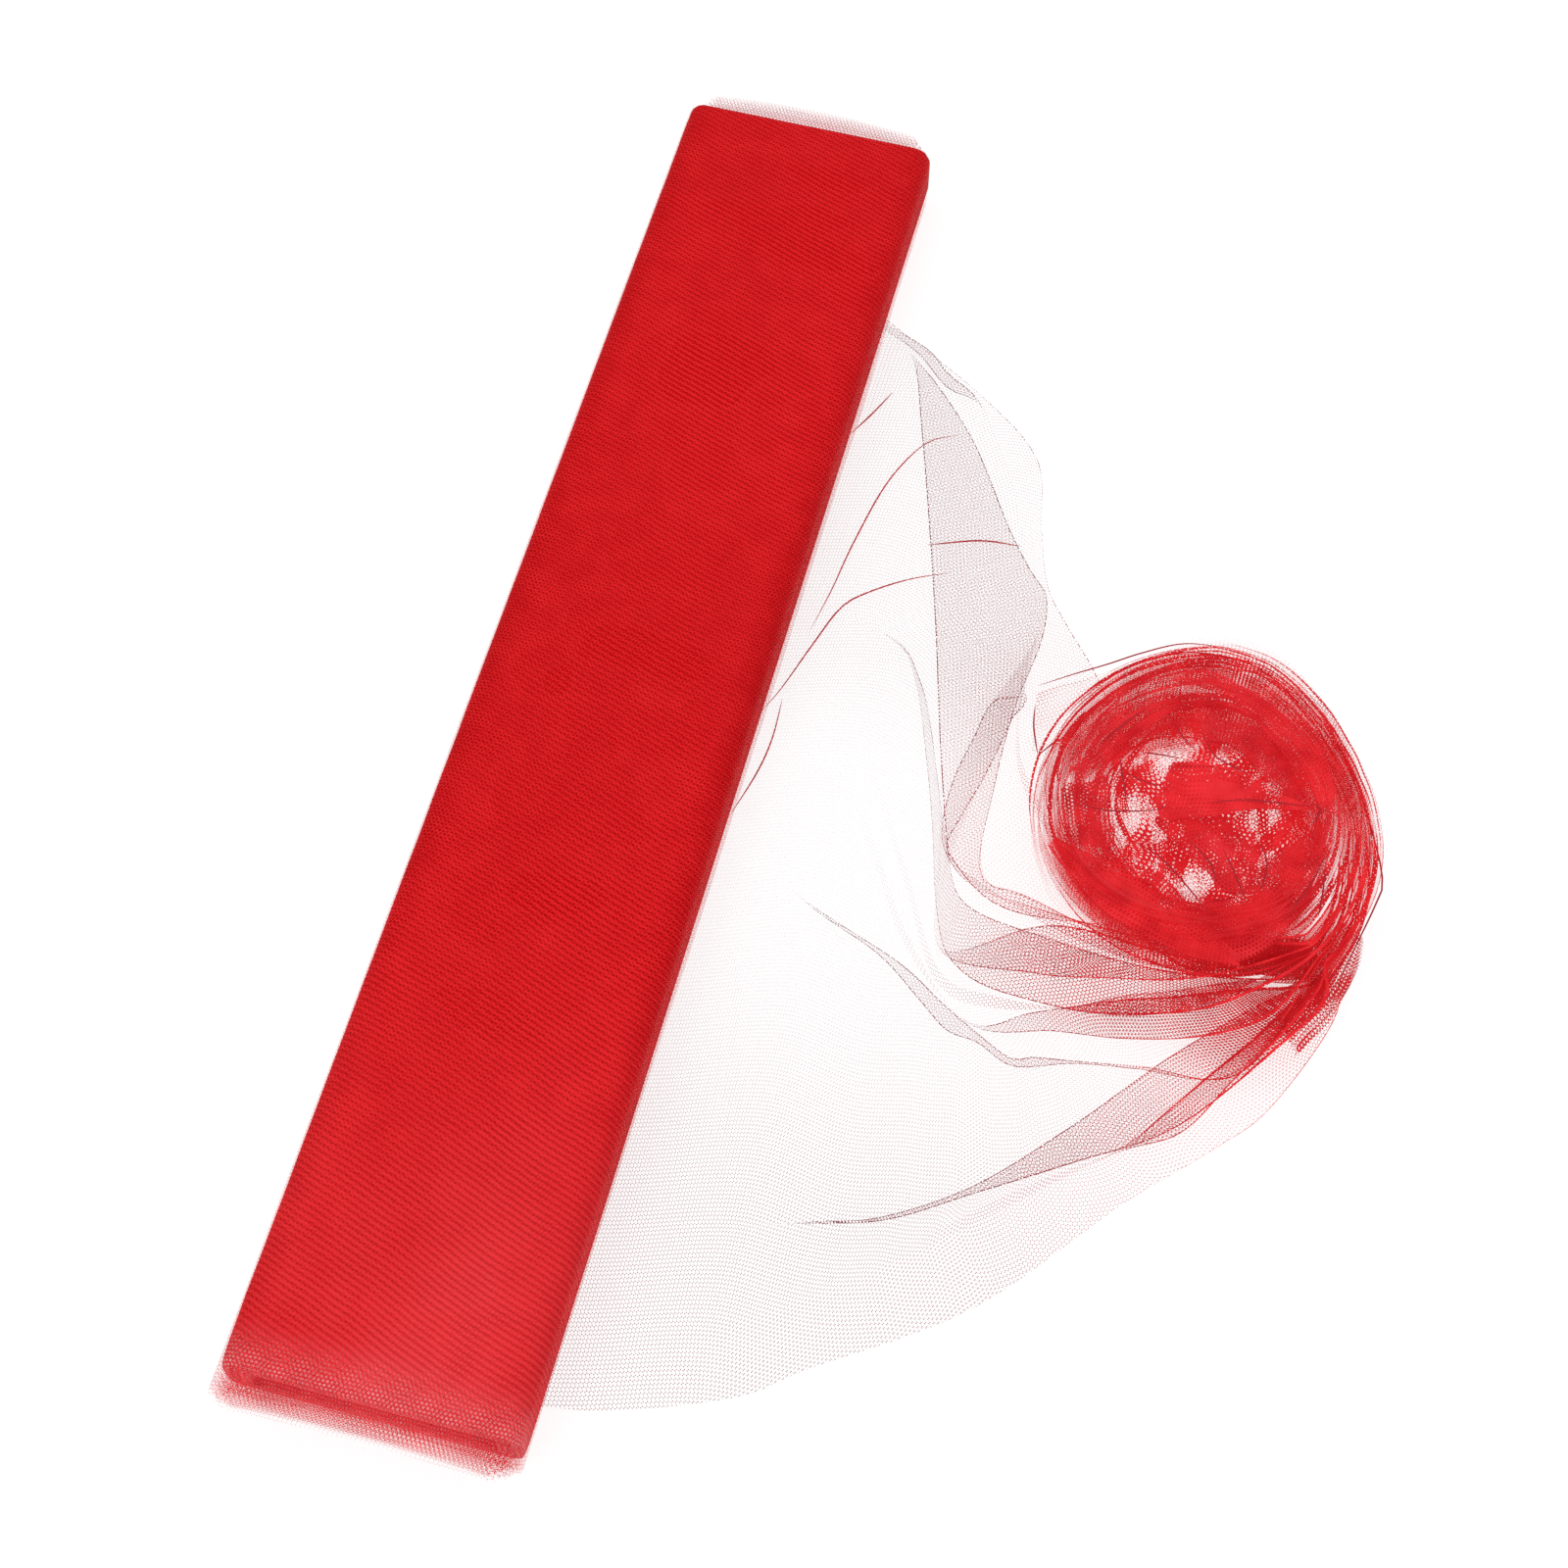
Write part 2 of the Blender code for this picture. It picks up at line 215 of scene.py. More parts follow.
def net_group():
    """Thread is 1 on a thread of the mesh and 0 in a hole, and Rise is the thread's height."""
    group = bpy.data.node_groups.new("net_mesh", "ShaderNodeTree")
    sockets = (("Place", "NodeSocketVector", (0, 0, 0)), ("Pitch", "NodeSocketFloat", NET_PITCH),
               ("Thread", "NodeSocketFloat", NET_THREAD), ("Cover", "NodeSocketFloat", 1.0))
    for label, kind, value in sockets:
        group.interface.new_socket(label, in_out="INPUT", socket_type=kind).default_value = value
    for label in ("Thread", "Rise"):
        group.interface.new_socket(label, in_out="OUTPUT", socket_type="NodeSocketFloat")
    w = Wires(group)
    given = w.add("NodeGroupInput").outputs
    cells = w.vector("SCALE", given["Place"], w.math("DIVIDE", 1.0, given["Pitch"]))
    cells = w.vector("ADD", cells, (FAR_FROM_ZERO, FAR_FROM_ZERO, 0))
    tile, half_tile = (1, sqrt(3), 1), (0.5, sqrt(3) / 2, 0)
    first = w.vector("SUBTRACT", w.vector("MODULO", cells, tile), half_tile)
    second = w.vector("SUBTRACT", w.vector("MODULO", w.vector("ADD", cells, half_tile), tile), half_tile)
    nearer = w.math("LESS_THAN", w.vector("LENGTH", second), w.vector("LENGTH", first))
    mix = w.add("ShaderNodeMix", data_type="VECTOR")
    w.put(mix.inputs[0], nearer)
    w.put(mix.inputs[4], first)
    w.put(mix.inputs[5], second)
    offset = w.vector("ABSOLUTE", mix.outputs[1])
    across = w.add("ShaderNodeSeparateXYZ", offset).outputs[0]
    out = w.math("MAXIMUM", w.vector("DOT_PRODUCT", offset, half_tile), across)
    edge = w.math("SUBTRACT", 0.5, out)
    thread = w.math("DIVIDE", w.math("MULTIPLY", given["Thread"], given["Cover"]), given["Pitch"])
    half_thread = w.math("MULTIPLY", thread, 0.5)
    rise = w.math("MAXIMUM", w.math("SUBTRACT", half_thread, edge), 0.0)
    knots = [w.vector("LENGTH", w.vector("SUBTRACT", offset, corner)) for corner in CELL_CORNERS]
    knot = w.math("LESS_THAN", w.math("MINIMUM", *knots), w.math("MULTIPLY", half_thread, KNOT_SWELL))
    on_thread = w.math("LESS_THAN", edge, half_thread)
    leaving = w.add("NodeGroupOutput")
    w.put(leaving.inputs["Thread"], w.math("MAXIMUM", on_thread, knot))
    w.put(leaving.inputs["Rise"], rise)
    return group


NET_GROUP = net_group()
print("net group:", len(NET_GROUP.nodes), "nodes, cell", NET_PITCH, "m")

# %% [markdown]
# ## Red netting, in the air
# Two finishes share that mesh. The open netting is cut away by it, through Alpha. A single
# thread is painted thin and dark, painted shade for a thread seen against the bright ground.
# Where the cloth is gathered, light runs along the threads and the red grows strong, and
# that light is painted: an attribute named gathered moves the colour from the dark thread
# red to a brighter red and adds a painted glow, though the thread is no lamp. Soft noise
# mixes a darker copy into that brighter red, painted shade in blotches.

# %% Mix the open netting
# NET_RED and SHADED_RED are lit and shaded copies of one red, the lone-thread red is painted shade, and
# THREAD_GLOW is a painted glow.
NET_RED = (0.660, 0.0220, 0.0280, 1)
LONE_THREAD_RED = (0.260, 0.024, 0.036, 1)
SHADED_RED = (0.500, 0.0090, 0.0140, 1)
UNLIT = (0, 0, 0, 1)
THREAD_GLOW = 0.40
THREAD_CLEARNESS = 0.75
SHADE_SIZE = 75.0
SHADE_FROM = 0.36
SHADE_OVER = 1 / 3


def net_nodes(w, place, cover=1.0, pitch=NET_PITCH, thread=NET_THREAD):
    """One use of the net group in a material."""
    node = w.add("ShaderNodeGroup", node_tree=NET_GROUP)
    for label, value in (("Place", place), ("Pitch", pitch), ("Thread", thread), ("Cover", cover)):
        w.put(node.inputs[label], value)
    return node.outputs


def shaded(w, share, low, high):
    """A colour between two, by a share."""
    mix = w.add("ShaderNodeMix", data_type="RGBA")
    w.put(mix.inputs[0], share)
    w.put(mix.inputs[6], low)
    w.put(mix.inputs[7], high)
    return mix.outputs[2]


def noise_mask(w, place, size, detail):
    """A soft noise from 0 to 1 at a place."""
    soft = w.add("ShaderNodeTexNoise", noise_dimensions="3D")
    soft.inputs["Scale"].default_value = size
    soft.inputs["Detail"].default_value = detail
    w.put(soft.inputs["Vector"], place)
    return soft.outputs[0]


def open_netting(name):
    """Netting that is seen through: its holes are cut by Alpha."""
    material, shader = plain_material(name, LONE_THREAD_RED, 0.6)
    shader.inputs["Specular IOR Level"].default_value = 0.1
    # The emission is a painted glow, standing in for light passed along gathered threads.
    shader.inputs["Emission Strength"].default_value = THREAD_GLOW
    w = Wires(material.node_tree)
    cover = w.add("ShaderNodeAttribute", attribute_name="cover").outputs["Fac"]
    gathered = w.add("ShaderNodeAttribute", attribute_name="gathered").outputs["Fac"]
    soft = noise_mask(w, w.add("ShaderNodeTexCoord").outputs["Object"], SHADE_SIZE, 5.0)
    # Soft noise mixes a darker copy of the red into the brighter one: painted shade in blotches.
    shade_mottled_red = shaded(w, w.ramp(soft, SHADE_FROM, SHADE_OVER), SHADED_RED, NET_RED)
    # gathered moves the colour from the dark lone-thread red, painted shade, to the brighter red, and the
    # emission from none to that red, a painted glow.
    w.put(shader.inputs["Base Color"], shaded(w, gathered, LONE_THREAD_RED, shade_mottled_red))
    w.put(shader.inputs["Emission Color"], shaded(w, gathered, UNLIT, shade_mottled_red))
    place = w.add("ShaderNodeUVMap", uv_map="UVMap").outputs[0]
    thread = net_nodes(w, place, cover)["Thread"]
    in_shadow = w.add("ShaderNodeLightPath").outputs["Is Shadow Ray"]
    kept = w.math("SUBTRACT", 1.0, w.math("MULTIPLY", in_shadow, THREAD_CLEARNESS))
    w.put(shader.inputs["Alpha"], w.math("MULTIPLY", thread, kept))
    return material


netting = open_netting("red_netting")
print("open netting:", len(netting.node_tree.nodes), "nodes")

# %% [markdown]
# ## Red netting, packed on the bolt
# The imported turns are solid: hundreds of layers fill each other's holes, and what is left
# is a deep red with lighter threads on top. The deep red is painted shade for the layers
# below, and the lighter threads are a painted highlight. Two nets laid a few degrees apart
# give the threads, a fine slanting ripple is what so many layers make together, and soft
# noise keeps it uneven. The rounded sides are painted darker, painted shade. Towards the
# near end the red is made lighter, and the layers thin out, so the red grows hazy there,
# and right at the end pale holes show between the threads.

# %% Mix the imported netting
# The deep red is painted shade for the layers below, and the thread red is a painted highlight on the threads
# on top.
DEEP_SHADE_RED = (0.44, 0.0008, 0.002, 1)
THREAD_RED = (0.80, 0.0140, 0.0200, 1)
HAZE_RED = (0.86, 0.070, 0.080, 1)
TIP_PALE = (0.95, 0.46, 0.48, 1)
TOP_COVER = 3.4
UNDER_COVER = 4.2
LAYER_TURN = radians(9)
PATCH_SIZE = 11.0
PATCH_STRETCH = (1.0, 0.45, 1.0)
SPECK_SIZE = 620.0
RIPPLE = 2.7 * MM
RIPPLE_WAY = (0.34, 0.94, 0.0)
RIPPLE_BEND = 9 * MM
RIPPLE_SHARE = 0.38
LIGHTER_FROM = 0.10
LIGHTER_OVER = 0.24
NEAR_HAZE = 0.55
# Painted shade along the rounded sides: where it starts, and over how far it grows.
SIDE_SHADE_FROM = 0.050
SIDE_SHADE_OVER = 0.014
TIP_FROM = 0.314
TIP_OVER = 0.022
TIP_SHARE = 0.85


def packed_netting(name):
    """Netting wound so thick that nothing shows through it."""
    material, shader = plain_material(name, NET_RED, 0.7)
    shader.inputs["Specular IOR Level"].default_value = 0.05
    w = Wires(material.node_tree)
    place = w.add("ShaderNodeUVMap", uv_map="UVMap").outputs[0]
    turned = w.add("ShaderNodeVectorRotate", place, rotation_type="Z_AXIS")
    turned.inputs["Angle"].default_value = LAYER_TURN
    top = net_nodes(w, place, TOP_COVER)
    under = net_nodes(w, turned.outputs[0], UNDER_COVER)
    on_bolt = w.add("ShaderNodeTexCoord").outputs["Object"]
    across, along, _ = w.add("ShaderNodeSeparateXYZ", on_bolt).outputs[:3]
    towards_near = w.math("MULTIPLY", along, -1.0)
    to_near = w.ramp(towards_near, LIGHTER_FROM, LIGHTER_OVER)
    to_tip = w.math("POWER", w.ramp(towards_near, TIP_FROM, TIP_OVER), 2.0)
    # Painted shade: the colour darkens towards the rounded sides.
    side_shade = w.ramp(w.math("ABSOLUTE", across), SIDE_SHADE_FROM, SIDE_SHADE_OVER)
    stretched = w.vector("MULTIPLY", on_bolt, PATCH_STRETCH)
    patchy = w.math("SUBTRACT", noise_mask(w, stretched, PATCH_SIZE, 4.0), 0.5)
    specks = w.math("SUBTRACT", noise_mask(w, on_bolt, SPECK_SIZE, 1.0), 0.5)
    slant = w.vector("DOT_PRODUCT", on_bolt, RIPPLE_WAY)
    slant = w.math("ADD", slant, w.math("MULTIPLY", patchy, RIPPLE_BEND))
    ripple = w.math("SINE", w.math("MULTIPLY", slant, 2 * pi / RIPPLE))
    strength = w.math("ADD", w.total((patchy, 1.1), (to_near, 0.12)), RIPPLE_SHARE)
    ripple = w.math("MULTIPLY", ripple, strength)
    # Threads lighter, a painted highlight, over the deep red, painted shade; the ripple, specks and patches
    # are the net's own uneven tone; the side term is painted shade, and the near-end term makes it lighter.
    shade = w.total((top["Thread"], 0.55), (under["Thread"], 0.3), (ripple, 1.0), (specks, 0.9),
                    (patchy, 0.5), (side_shade, -0.55), (to_near, 0.25))
    red = shaded(w, shade, DEEP_SHADE_RED, THREAD_RED)
    uneven = w.math("ADD", w.total((patchy, 3.5), (ripple, 0.8)), 0.9)
    haze = w.math("MULTIPLY", w.math("POWER", to_near, 2.0), NEAR_HAZE)
    haze = w.math("MULTIPLY", haze, w.math("MAXIMUM", uneven, 0.0))
    threads = w.math("MAXIMUM", top["Thread"], w.math("MULTIPLY", under["Thread"], 0.6))
    holes = w.math("SUBTRACT", 1.0, threads)
    pale = w.math("MULTIPLY", w.math("MULTIPLY", to_tip, TIP_SHARE), holes)
    w.put(shader.inputs["Base Color"], shaded(w, pale, shaded(w, haze, red, HAZE_RED), TIP_PALE))
    bump = w.add("ShaderNodeBump")
    bump.inputs["Strength"].default_value = 0.35
    bump.inputs["Distance"].default_value = 0.4 * MM
    w.put(bump.inputs["Height"], w.total((top["Rise"], 1.0), (under["Rise"], 0.5)))
    w.put(shader.inputs["Normal"], bump.outputs[0])
    return material


packed = packed_netting("packed_red_netting")
print("packed netting:", len(packed.node_tree.nodes), "nodes")

# %% [markdown]
# ## The board: card and paper
# The board is folded corrugated card, and its ends can be seen down the hole in the
# winding. Card and paper are the same stuff, pressed fibre, so one group makes the fibres:
# a noise stretched along the board, with a finer speckle. The card adds the faint lines of
# its flutes, and the tapes are smoother and paler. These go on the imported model's own
# solids, whose shapes are right as they are.

# %% Finish the board and the tapes
FLUTE = 7.8 * MM


def fibre_group():
    """Fibres is a mask of long fibres and Speckle a fine one, both on Object coordinates."""
    group = bpy.data.node_groups.new("card_fibre", "ShaderNodeTree")
    group.interface.new_socket("Size", in_out="INPUT", socket_type="NodeSocketFloat").default_value = 600.0
    for label in ("Fibres", "Speckle"):
        group.interface.new_socket(label, in_out="OUTPUT", socket_type="NodeSocketFloat")
    w = Wires(group)
    size = w.add("NodeGroupInput").outputs["Size"]
    place = w.add("ShaderNodeTexCoord").outputs["Object"]
    long_way = w.vector("MULTIPLY", place, (1.0, 0.12, 1.0))
    leaving = w.add("NodeGroupOutput")
    for label, at, detail in (("Fibres", long_way, 4.0), ("Speckle", place, 2.0)):
        grain = w.add("ShaderNodeTexNoise")
        grain.inputs["Detail"].default_value = detail
        w.put(grain.inputs["Scale"], size)
        w.put(grain.inputs["Vector"], at)
        w.put(leaving.inputs[label], grain.outputs[0])
    return group


FIBRE_GROUP = fibre_group()


def fibre_finish(name, light, dark, roughness, size, fluted=0.0):
    """Card or paper: its colour runs from light to dark along the fibres."""
    material, shader = plain_material(name, light, roughness)
    w = Wires(material.node_tree)
    fibre = w.add("ShaderNodeGroup", node_tree=FIBRE_GROUP)
    fibre.inputs["Size"].default_value = size
    shade = w.total((fibre.outputs["Fibres"], 0.7), (fibre.outputs["Speckle"], 0.3))
    if fluted:
        across = w.add("ShaderNodeSeparateXYZ", w.add("ShaderNodeTexCoord").outputs["Object"]).outputs[0]
        wave = w.math("SINE", w.math("MULTIPLY", across, 2 * pi / FLUTE))
        shade = w.math("ADD", shade, w.math("MULTIPLY", wave, fluted))
    w.put(shader.inputs["Base Color"], shaded(w, shade, dark, light))
    bump = w.add("ShaderNodeBump")
    bump.inputs["Strength"].default_value = 0.25
    bump.inputs["Distance"].default_value = 0.1 * MM
    w.put(bump.inputs["Height"], fibre.outputs["Fibres"])
    w.put(shader.inputs["Normal"], bump.outputs[0])
    return material


BOARD_FINISHES = {
    "core_outer_liner": ("brown_card", (0.47, 0.31, 0.17, 1), (0.25, 0.15, 0.075, 1), 0.85, 500.0, 0.06),
    "core_inner_liner": ("inner_card", (0.44, 0.29, 0.16, 1), (0.24, 0.14, 0.07, 1), 0.88, 520.0, 0.06),
    "core_fluting": ("fluting_card", (0.39, 0.25, 0.13, 1), (0.20, 0.12, 0.06, 1), 0.9, 420.0, 0.0),
    "core_seam_tape": ("gummed_paper_tape", (0.72, 0.58, 0.38, 1), (0.52, 0.39, 0.23, 1), 0.6, 800.0, 0.0),
    "starting_tape": ("masking_tape", (0.86, 0.80, 0.62, 1), (0.68, 0.60, 0.42, 1), 0.7, 900.0, 0.0),
}
for node, (name, *finish) in BOARD_FINISHES.items():
    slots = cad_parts[node].data.materials
    slots.clear()
    slots.append(fibre_finish(name, *finish))
print("board finishes:", len(BOARD_FINISHES))

# %% [markdown]
# ## Curves and cloth from rows
# Two helpers do most of the work. One reads a smooth curve through a few chosen points at
# even steps of its length. The other turns a grid of places into a mesh with a map in
# metres and the cover attribute, which is all that the net material needs.

# %% Write the helpers
FINE_STEPS = 24
SEED_SHIFT = (13.7, 7.1, 3.3)


def smooth_path(points, shares, onward=None):
    """Places at shares of the length of a smooth curve through points. The point onward steers its end."""
    p = np.asarray(points, float)
    last = 2 * p[-1] - p[-2] if onward is None else np.asarray(onward, float)
    p = np.vstack([2 * p[0] - p[1], p, last])
    t = np.linspace(0, 1, FINE_STEPS, endpoint=False)[:, None]
    runs = []
    for a, b, c, d in zip(p[:-3], p[1:-2], p[2:-1], p[3:]):
        bend = (2 * a - 5 * b + 4 * c - d) * t**2
        twist = (3 * b - a - 3 * c + d) * t**3
        runs.append(0.5 * (2 * b + (c - a) * t + bend + twist))
    fine = np.vstack(runs + [p[-2:-1]])
    along = np.concatenate([[0], np.cumsum(np.linalg.norm(np.diff(fine, axis=0), axis=1))])
    wanted = np.asarray(shares) * along[-1]
    return np.stack([np.interp(wanted, along, fine[:, k]) for k in range(fine.shape[1])], -1)


def ease(x):
    """0 below 0, 1 above 1, and smooth between."""
    x = np.clip(x, 0, 1)
    return x * x * (3 - 2 * x)


def drift(seed, *ways):
    """Smooth noise from -1 to 1 at each place, where ways are arrays of the same shape."""
    spots = np.stack([np.broadcast_to(way, np.shape(ways[0])) for way in ways], -1).reshape(-1, len(ways))
    filled = np.zeros((len(spots), 3))
    filled[:, : len(ways)] = spots
    shift = Vector([seed * step for step in SEED_SHIFT])
    values = [noise.noise(Vector(spot) + shift) for spot in filled]
    return np.array(values).reshape(np.shape(ways[0]))


def cloth_from_rows(name, places, cloth, material, **attributes):
    """A mesh from a grid of places (rows, columns, 3), with cloth places in metres and attributes."""
    rows, columns, _ = places.shape
    mesh = bpy.data.meshes.new(name)
    index = np.arange(rows * columns).reshape(rows, columns)
    quads = np.stack([index[:-1, :-1], index[1:, :-1], index[1:, 1:], index[:-1, 1:]], -1).reshape(-1, 4)
    mesh.from_pydata(places.reshape(-1, 3).tolist(), [], quads.tolist())
    uv = mesh.uv_layers.new(name="UVMap")
    uv.data.foreach_set("uv", cloth.reshape(-1, 2)[quads.reshape(-1)].astype(np.float32).ravel())
    for label, values in attributes.items():
        attribute = mesh.attributes.new(label, "FLOAT", "POINT")
        attribute.data.foreach_set("value", np.asarray(values).reshape(-1).astype(np.float32))
    mesh.shade_smooth()
    mesh.materials.append(material)
    piece = bpy.data.objects.new(name, mesh)
    bpy.context.scene.collection.objects.link(piece)
    return piece


print("a quarter turn's length:", smooth_path([(1, 0), (0.7071, 0.7071), (0, 1)], [0.5]).round(3))

# %% [markdown]
# ## Where the drawn netting folds
# The netting comes off underneath the bolt at its lower left edge, the full folded width,
# and is pulled together at the right, where it climbs into a strand round the rosette.
# Pulling wide cloth into a narrow strand makes it fold, and each fold starts at a point
# and opens like a fan. So the sheet is described by its lines in the order of the cloth,
# from its far edge to its near edge. A fold is a pair of lines: the cloth runs on to the
# first, turns back to the second, and turns again. Before the fold's point the two lines
# run side by side, and after it they have crossed, which leaves three layers between
# them. Places are in millimetres, out from the bolt's right edge and along the bolt.

# %% Choose the fold lines
LEAD_GAP = 3.0


def fold(lead, first, second, tail=()):
    """The two lines of a fold: they share a lead, part at the fold's point, and share a tail."""
    lines = []
    for side, course in ((1, first), (-1, second)):
        beside = [(x, y + side * LEAD_GAP) for x, y in lead]
        after = [(x, y + side * LEAD_GAP) for x, y in tail]
        lines.append((beside + list(course) + after, len(beside), len(course) if tail else None))
    return lines


FAR_EDGE = [(-2, 265), (54, 232), (90, 201), (101, 162), (111, 130), (125, 110), (146, 84), (181, 30),
            (236, -30)]
NEAR_EDGE = [(-2, -314), (29, -307), (74, -289), (98, -271), (158, -228), (208, -168), (240, -135),
             (258, -116), (274, -84), (279, -63)]
FOLDS = {
    "corner_tuck": fold(
        (), [(-1, 258), (19, 247), (38, 230), (59, 222)], [(-1, 262), (23, 252), (36, 240), (58, 223)],
        [(86, 170), (104, 120), (110, 80), (122, 25), (165, -20), (216, -48)]),
    "long_band": fold(
        [(-2, 248)],
        [(16, 245), (31, 203), (50, 142), (66, 88), (80, 37), (95, -13), (101, -26), (125, -43), (166, -45)],
        [(16, 246), (55, 206), (86, 157), (102, 135), (112, 123), (115, 98), (111, 60), (111, 18), (115, -29),
         (137, -35), (191, -46)]),
    "twisted_band": fold(
        [(-2, 170), (60, 125)], [(112, 73), (100, 59), (96, 38), (92, 13), (93, -13), (100, -27), (115, -37)],
        [(112, 71), (111, 53), (106, 22), (100, -3), (97, -20), (106, -30), (115, -33)],
        [(150, -44), (200, -50)]),
    "upper_pleat": fold(
        [(-2, 120), (45, 90), (72, 50), (87, 10), (96, -30)],
        [(107, -72), (149, -72), (180, -68), (210, -65), (235, -57)],
        [(107, -71), (141, -51), (161, -45), (197, -46), (228, -46)]),
    "front_turn": fold(
        [(-2, 95)],
        [(47, 80), (63, 60), (78, 20), (89, -14), (100, -52), (113, -76), (143, -85), (212, -79)],
        [(47, 81), (64, 63), (75, 40), (86, 10), (98, -22), (112, -46), (150, -53), (205, -55)]),
    "inner_pleat": fold(
        [(-2, 50), (45, 20), (80, -35), (108, -84), (135, -90)],
        [(167, -85), (191, -82), (225, -75), (252, -58)], [(166, -84), (189, -72), (209, -64), (238, -51)]),
    "lower_pleat": fold(
        [(-2, 15), (50, -10), (90, -70)], [(127, -103), (164, -97), (193, -93), (231, -85), (254, -71)],
        [(127, -102), (153, -90), (190, -74), (210, -67), (239, -55)]),
    "loose_sliver": fold(
        [(-2, -35)],
        [(42, -64), (80, -81), (102, -97), (118, -109), (132, -111), (150, -118), (175, -110), (204, -105),
         (244, -99)],
        [(42, -63), (90, -82), (113, -96), (131, -106), (148, -114), (157, -111), (175, -108), (204, -103),
         (244, -96)]),
    "broad_band": fold(
        [(-2, -232), (40, -222)],
        [(82, -210), (114, -200), (147, -179), (184, -155), (222, -129), (257, -87), (273, -63)],
        [(82, -209), (111, -199), (146, -175), (181, -137), (215, -95), (248, -60), (267, -44)]),
    "edge_pleat": fold(
        [(-2, -280), (60, -258), (120, -215), (165, -175)],
        [(203, -144), (226, -130), (243, -103), (257, -83), (269, -60)],
        [(203, -142), (217, -123), (234, -98), (248, -78), (262, -55)]),
}
guide_lines = [(FAR_EDGE, 0, None)]
for pair in FOLDS.values():
    guide_lines += pair
guide_lines.append((NEAR_EDGE, 0, None))
LINES = len(guide_lines)
print("lines across the cloth:", LINES)

# %% [markdown]
# ## The strand and the rosette
# At the end of the fan the lines draw together until the cloth stands in narrow pleats,
# every other line at the foot of a pleat and the rest at its top. That strand runs round
# the right side of the rosette and then winds inwards, turn after turn, which is what the
# rosette is. One rule places all of it: an angle gives the radius of the strand's middle,
# the cloth's line gives the place in the strand, and smooth noise loosens every turn.

# %% Set out the strand
ring_middle = (ring_low + ring_high) / 2
_, strand_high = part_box("gathered_strand")
STRAND_TOP = strand_high.z
START_ANGLE = radians(-42)
STRAND_SWEEP = radians(158)
TURN_IN = radians(62)
TURNS = 2.7
RING_WIDTH = 11 * MM
OUTER_EDGE = ((-42, 90), (-30, 86), (-10, 82), (10, 78), (30, 76), (45, 77), (63, 82), (80, 89), (95, 91),
              (115, 87), (142, 82), (170, 79), (200, 76), (230, 74), (285, 74))
INNER_EDGE = ((-42, 72), (-20, 67), (5, 64), (60, 65), (90, 69), (130, 67), (180, 66), (250, 66))
COIL_EDGE = ((-37, 73), (-15, 70), (10, 68), (40, 67), (70, 68), (95, 72), (130, 73), (165, 76), (200, 75),
             (230, 73), (270, 72), (300, 72))
COIL_STEP = 7.5 * MM
COIL_TOP = ring_high.z - 4 * MM
FOOT = 0.8 * MM
STRAND_STRAY = 0.8 * MM
COIL_STRAY = 2.4 * MM
COIL_WAVE = 1.5 * MM
COIL_FOOT = 8 * MM
LINE_APART = 0.9


def around(edge, angles):
    """An edge's radius at angles, from its (degrees, millimetres) places round the rosette."""
    degrees, radii = np.array(edge, float).T
    return np.interp(np.degrees(angles), degrees, radii, period=360) * MM


def strand_places(angles, line, part=0.0):
    """Places at angles along the strand for a line of the cloth, or part of the way from it to the next."""
    angles = np.asarray(angles, float)
    swept = angles - START_ANGLE
    wound = np.clip(swept - STRAND_SWEEP, 0, None) / (2 * pi)
    joined = ease((swept - STRAND_SWEEP) / TURN_IN)
    coil_outer = around(COIL_EDGE, angles) - COIL_STEP * wound
    outer, inner = around(OUTER_EDGE, angles), around(INNER_EDGE, angles)
    outer = outer + (coil_outer - outer) * joined
    inner = inner + (coil_outer - RING_WIDTH - inner) * joined
    at_line = np.full_like(angles, (line + part) * LINE_APART)
    radius = inner + (outer - inner) * (line + part) / (LINES - 1)
    radius = radius + (STRAND_STRAY + COIL_STRAY * joined) * drift(1, swept * 1.3, at_line)
    radius = radius + COIL_WAVE * joined * drift(2, swept * 3.6, at_line)
    up = 1 - abs(((line + part) % 2) - 1)
    top = STRAND_TOP + (COIL_TOP - STRAND_TOP) * joined
    lift = 1 + 0.30 * drift(3, swept * 1.1, at_line) - 0.14 * joined
    foot = FOOT + COIL_FOOT * joined * (0.5 + 0.5 * drift(4, swept * 1.3, at_line))
    height = foot + (top * lift - foot) * up
    turn_x = ring_middle.x + radius * np.cos(angles)
    turn_y = ring_middle.y + radius * np.sin(angles)
    return np.stack([turn_x, turn_y, height], -1)


print("strand top", round(STRAND_TOP, 4), "start", strand_places([START_ANGLE], 0).round(4))

# %% [markdown]
# ## Read the lines of the fan
# Each line is read at the same shares of its own length, so the places that belong
# together make a row of the cloth. A line rises towards the strand, and a fold stands a
# little higher than the cloth beside it. How open each fold is along its length is kept
# too, because an open fold has a thick edge.

# %% Read the fan's lines
FAN_ROWS = 76
RISE_FROM = 0.70
EDGE_OPEN = 0.8
OPEN_OVER = 0.05
LINE_LIFT = 0.12 * MM
FOLD_LIFT = 1.3 * MM
FAN_WAVE = 0.8 * MM
FAN_WAVES_PER_METRE = 9


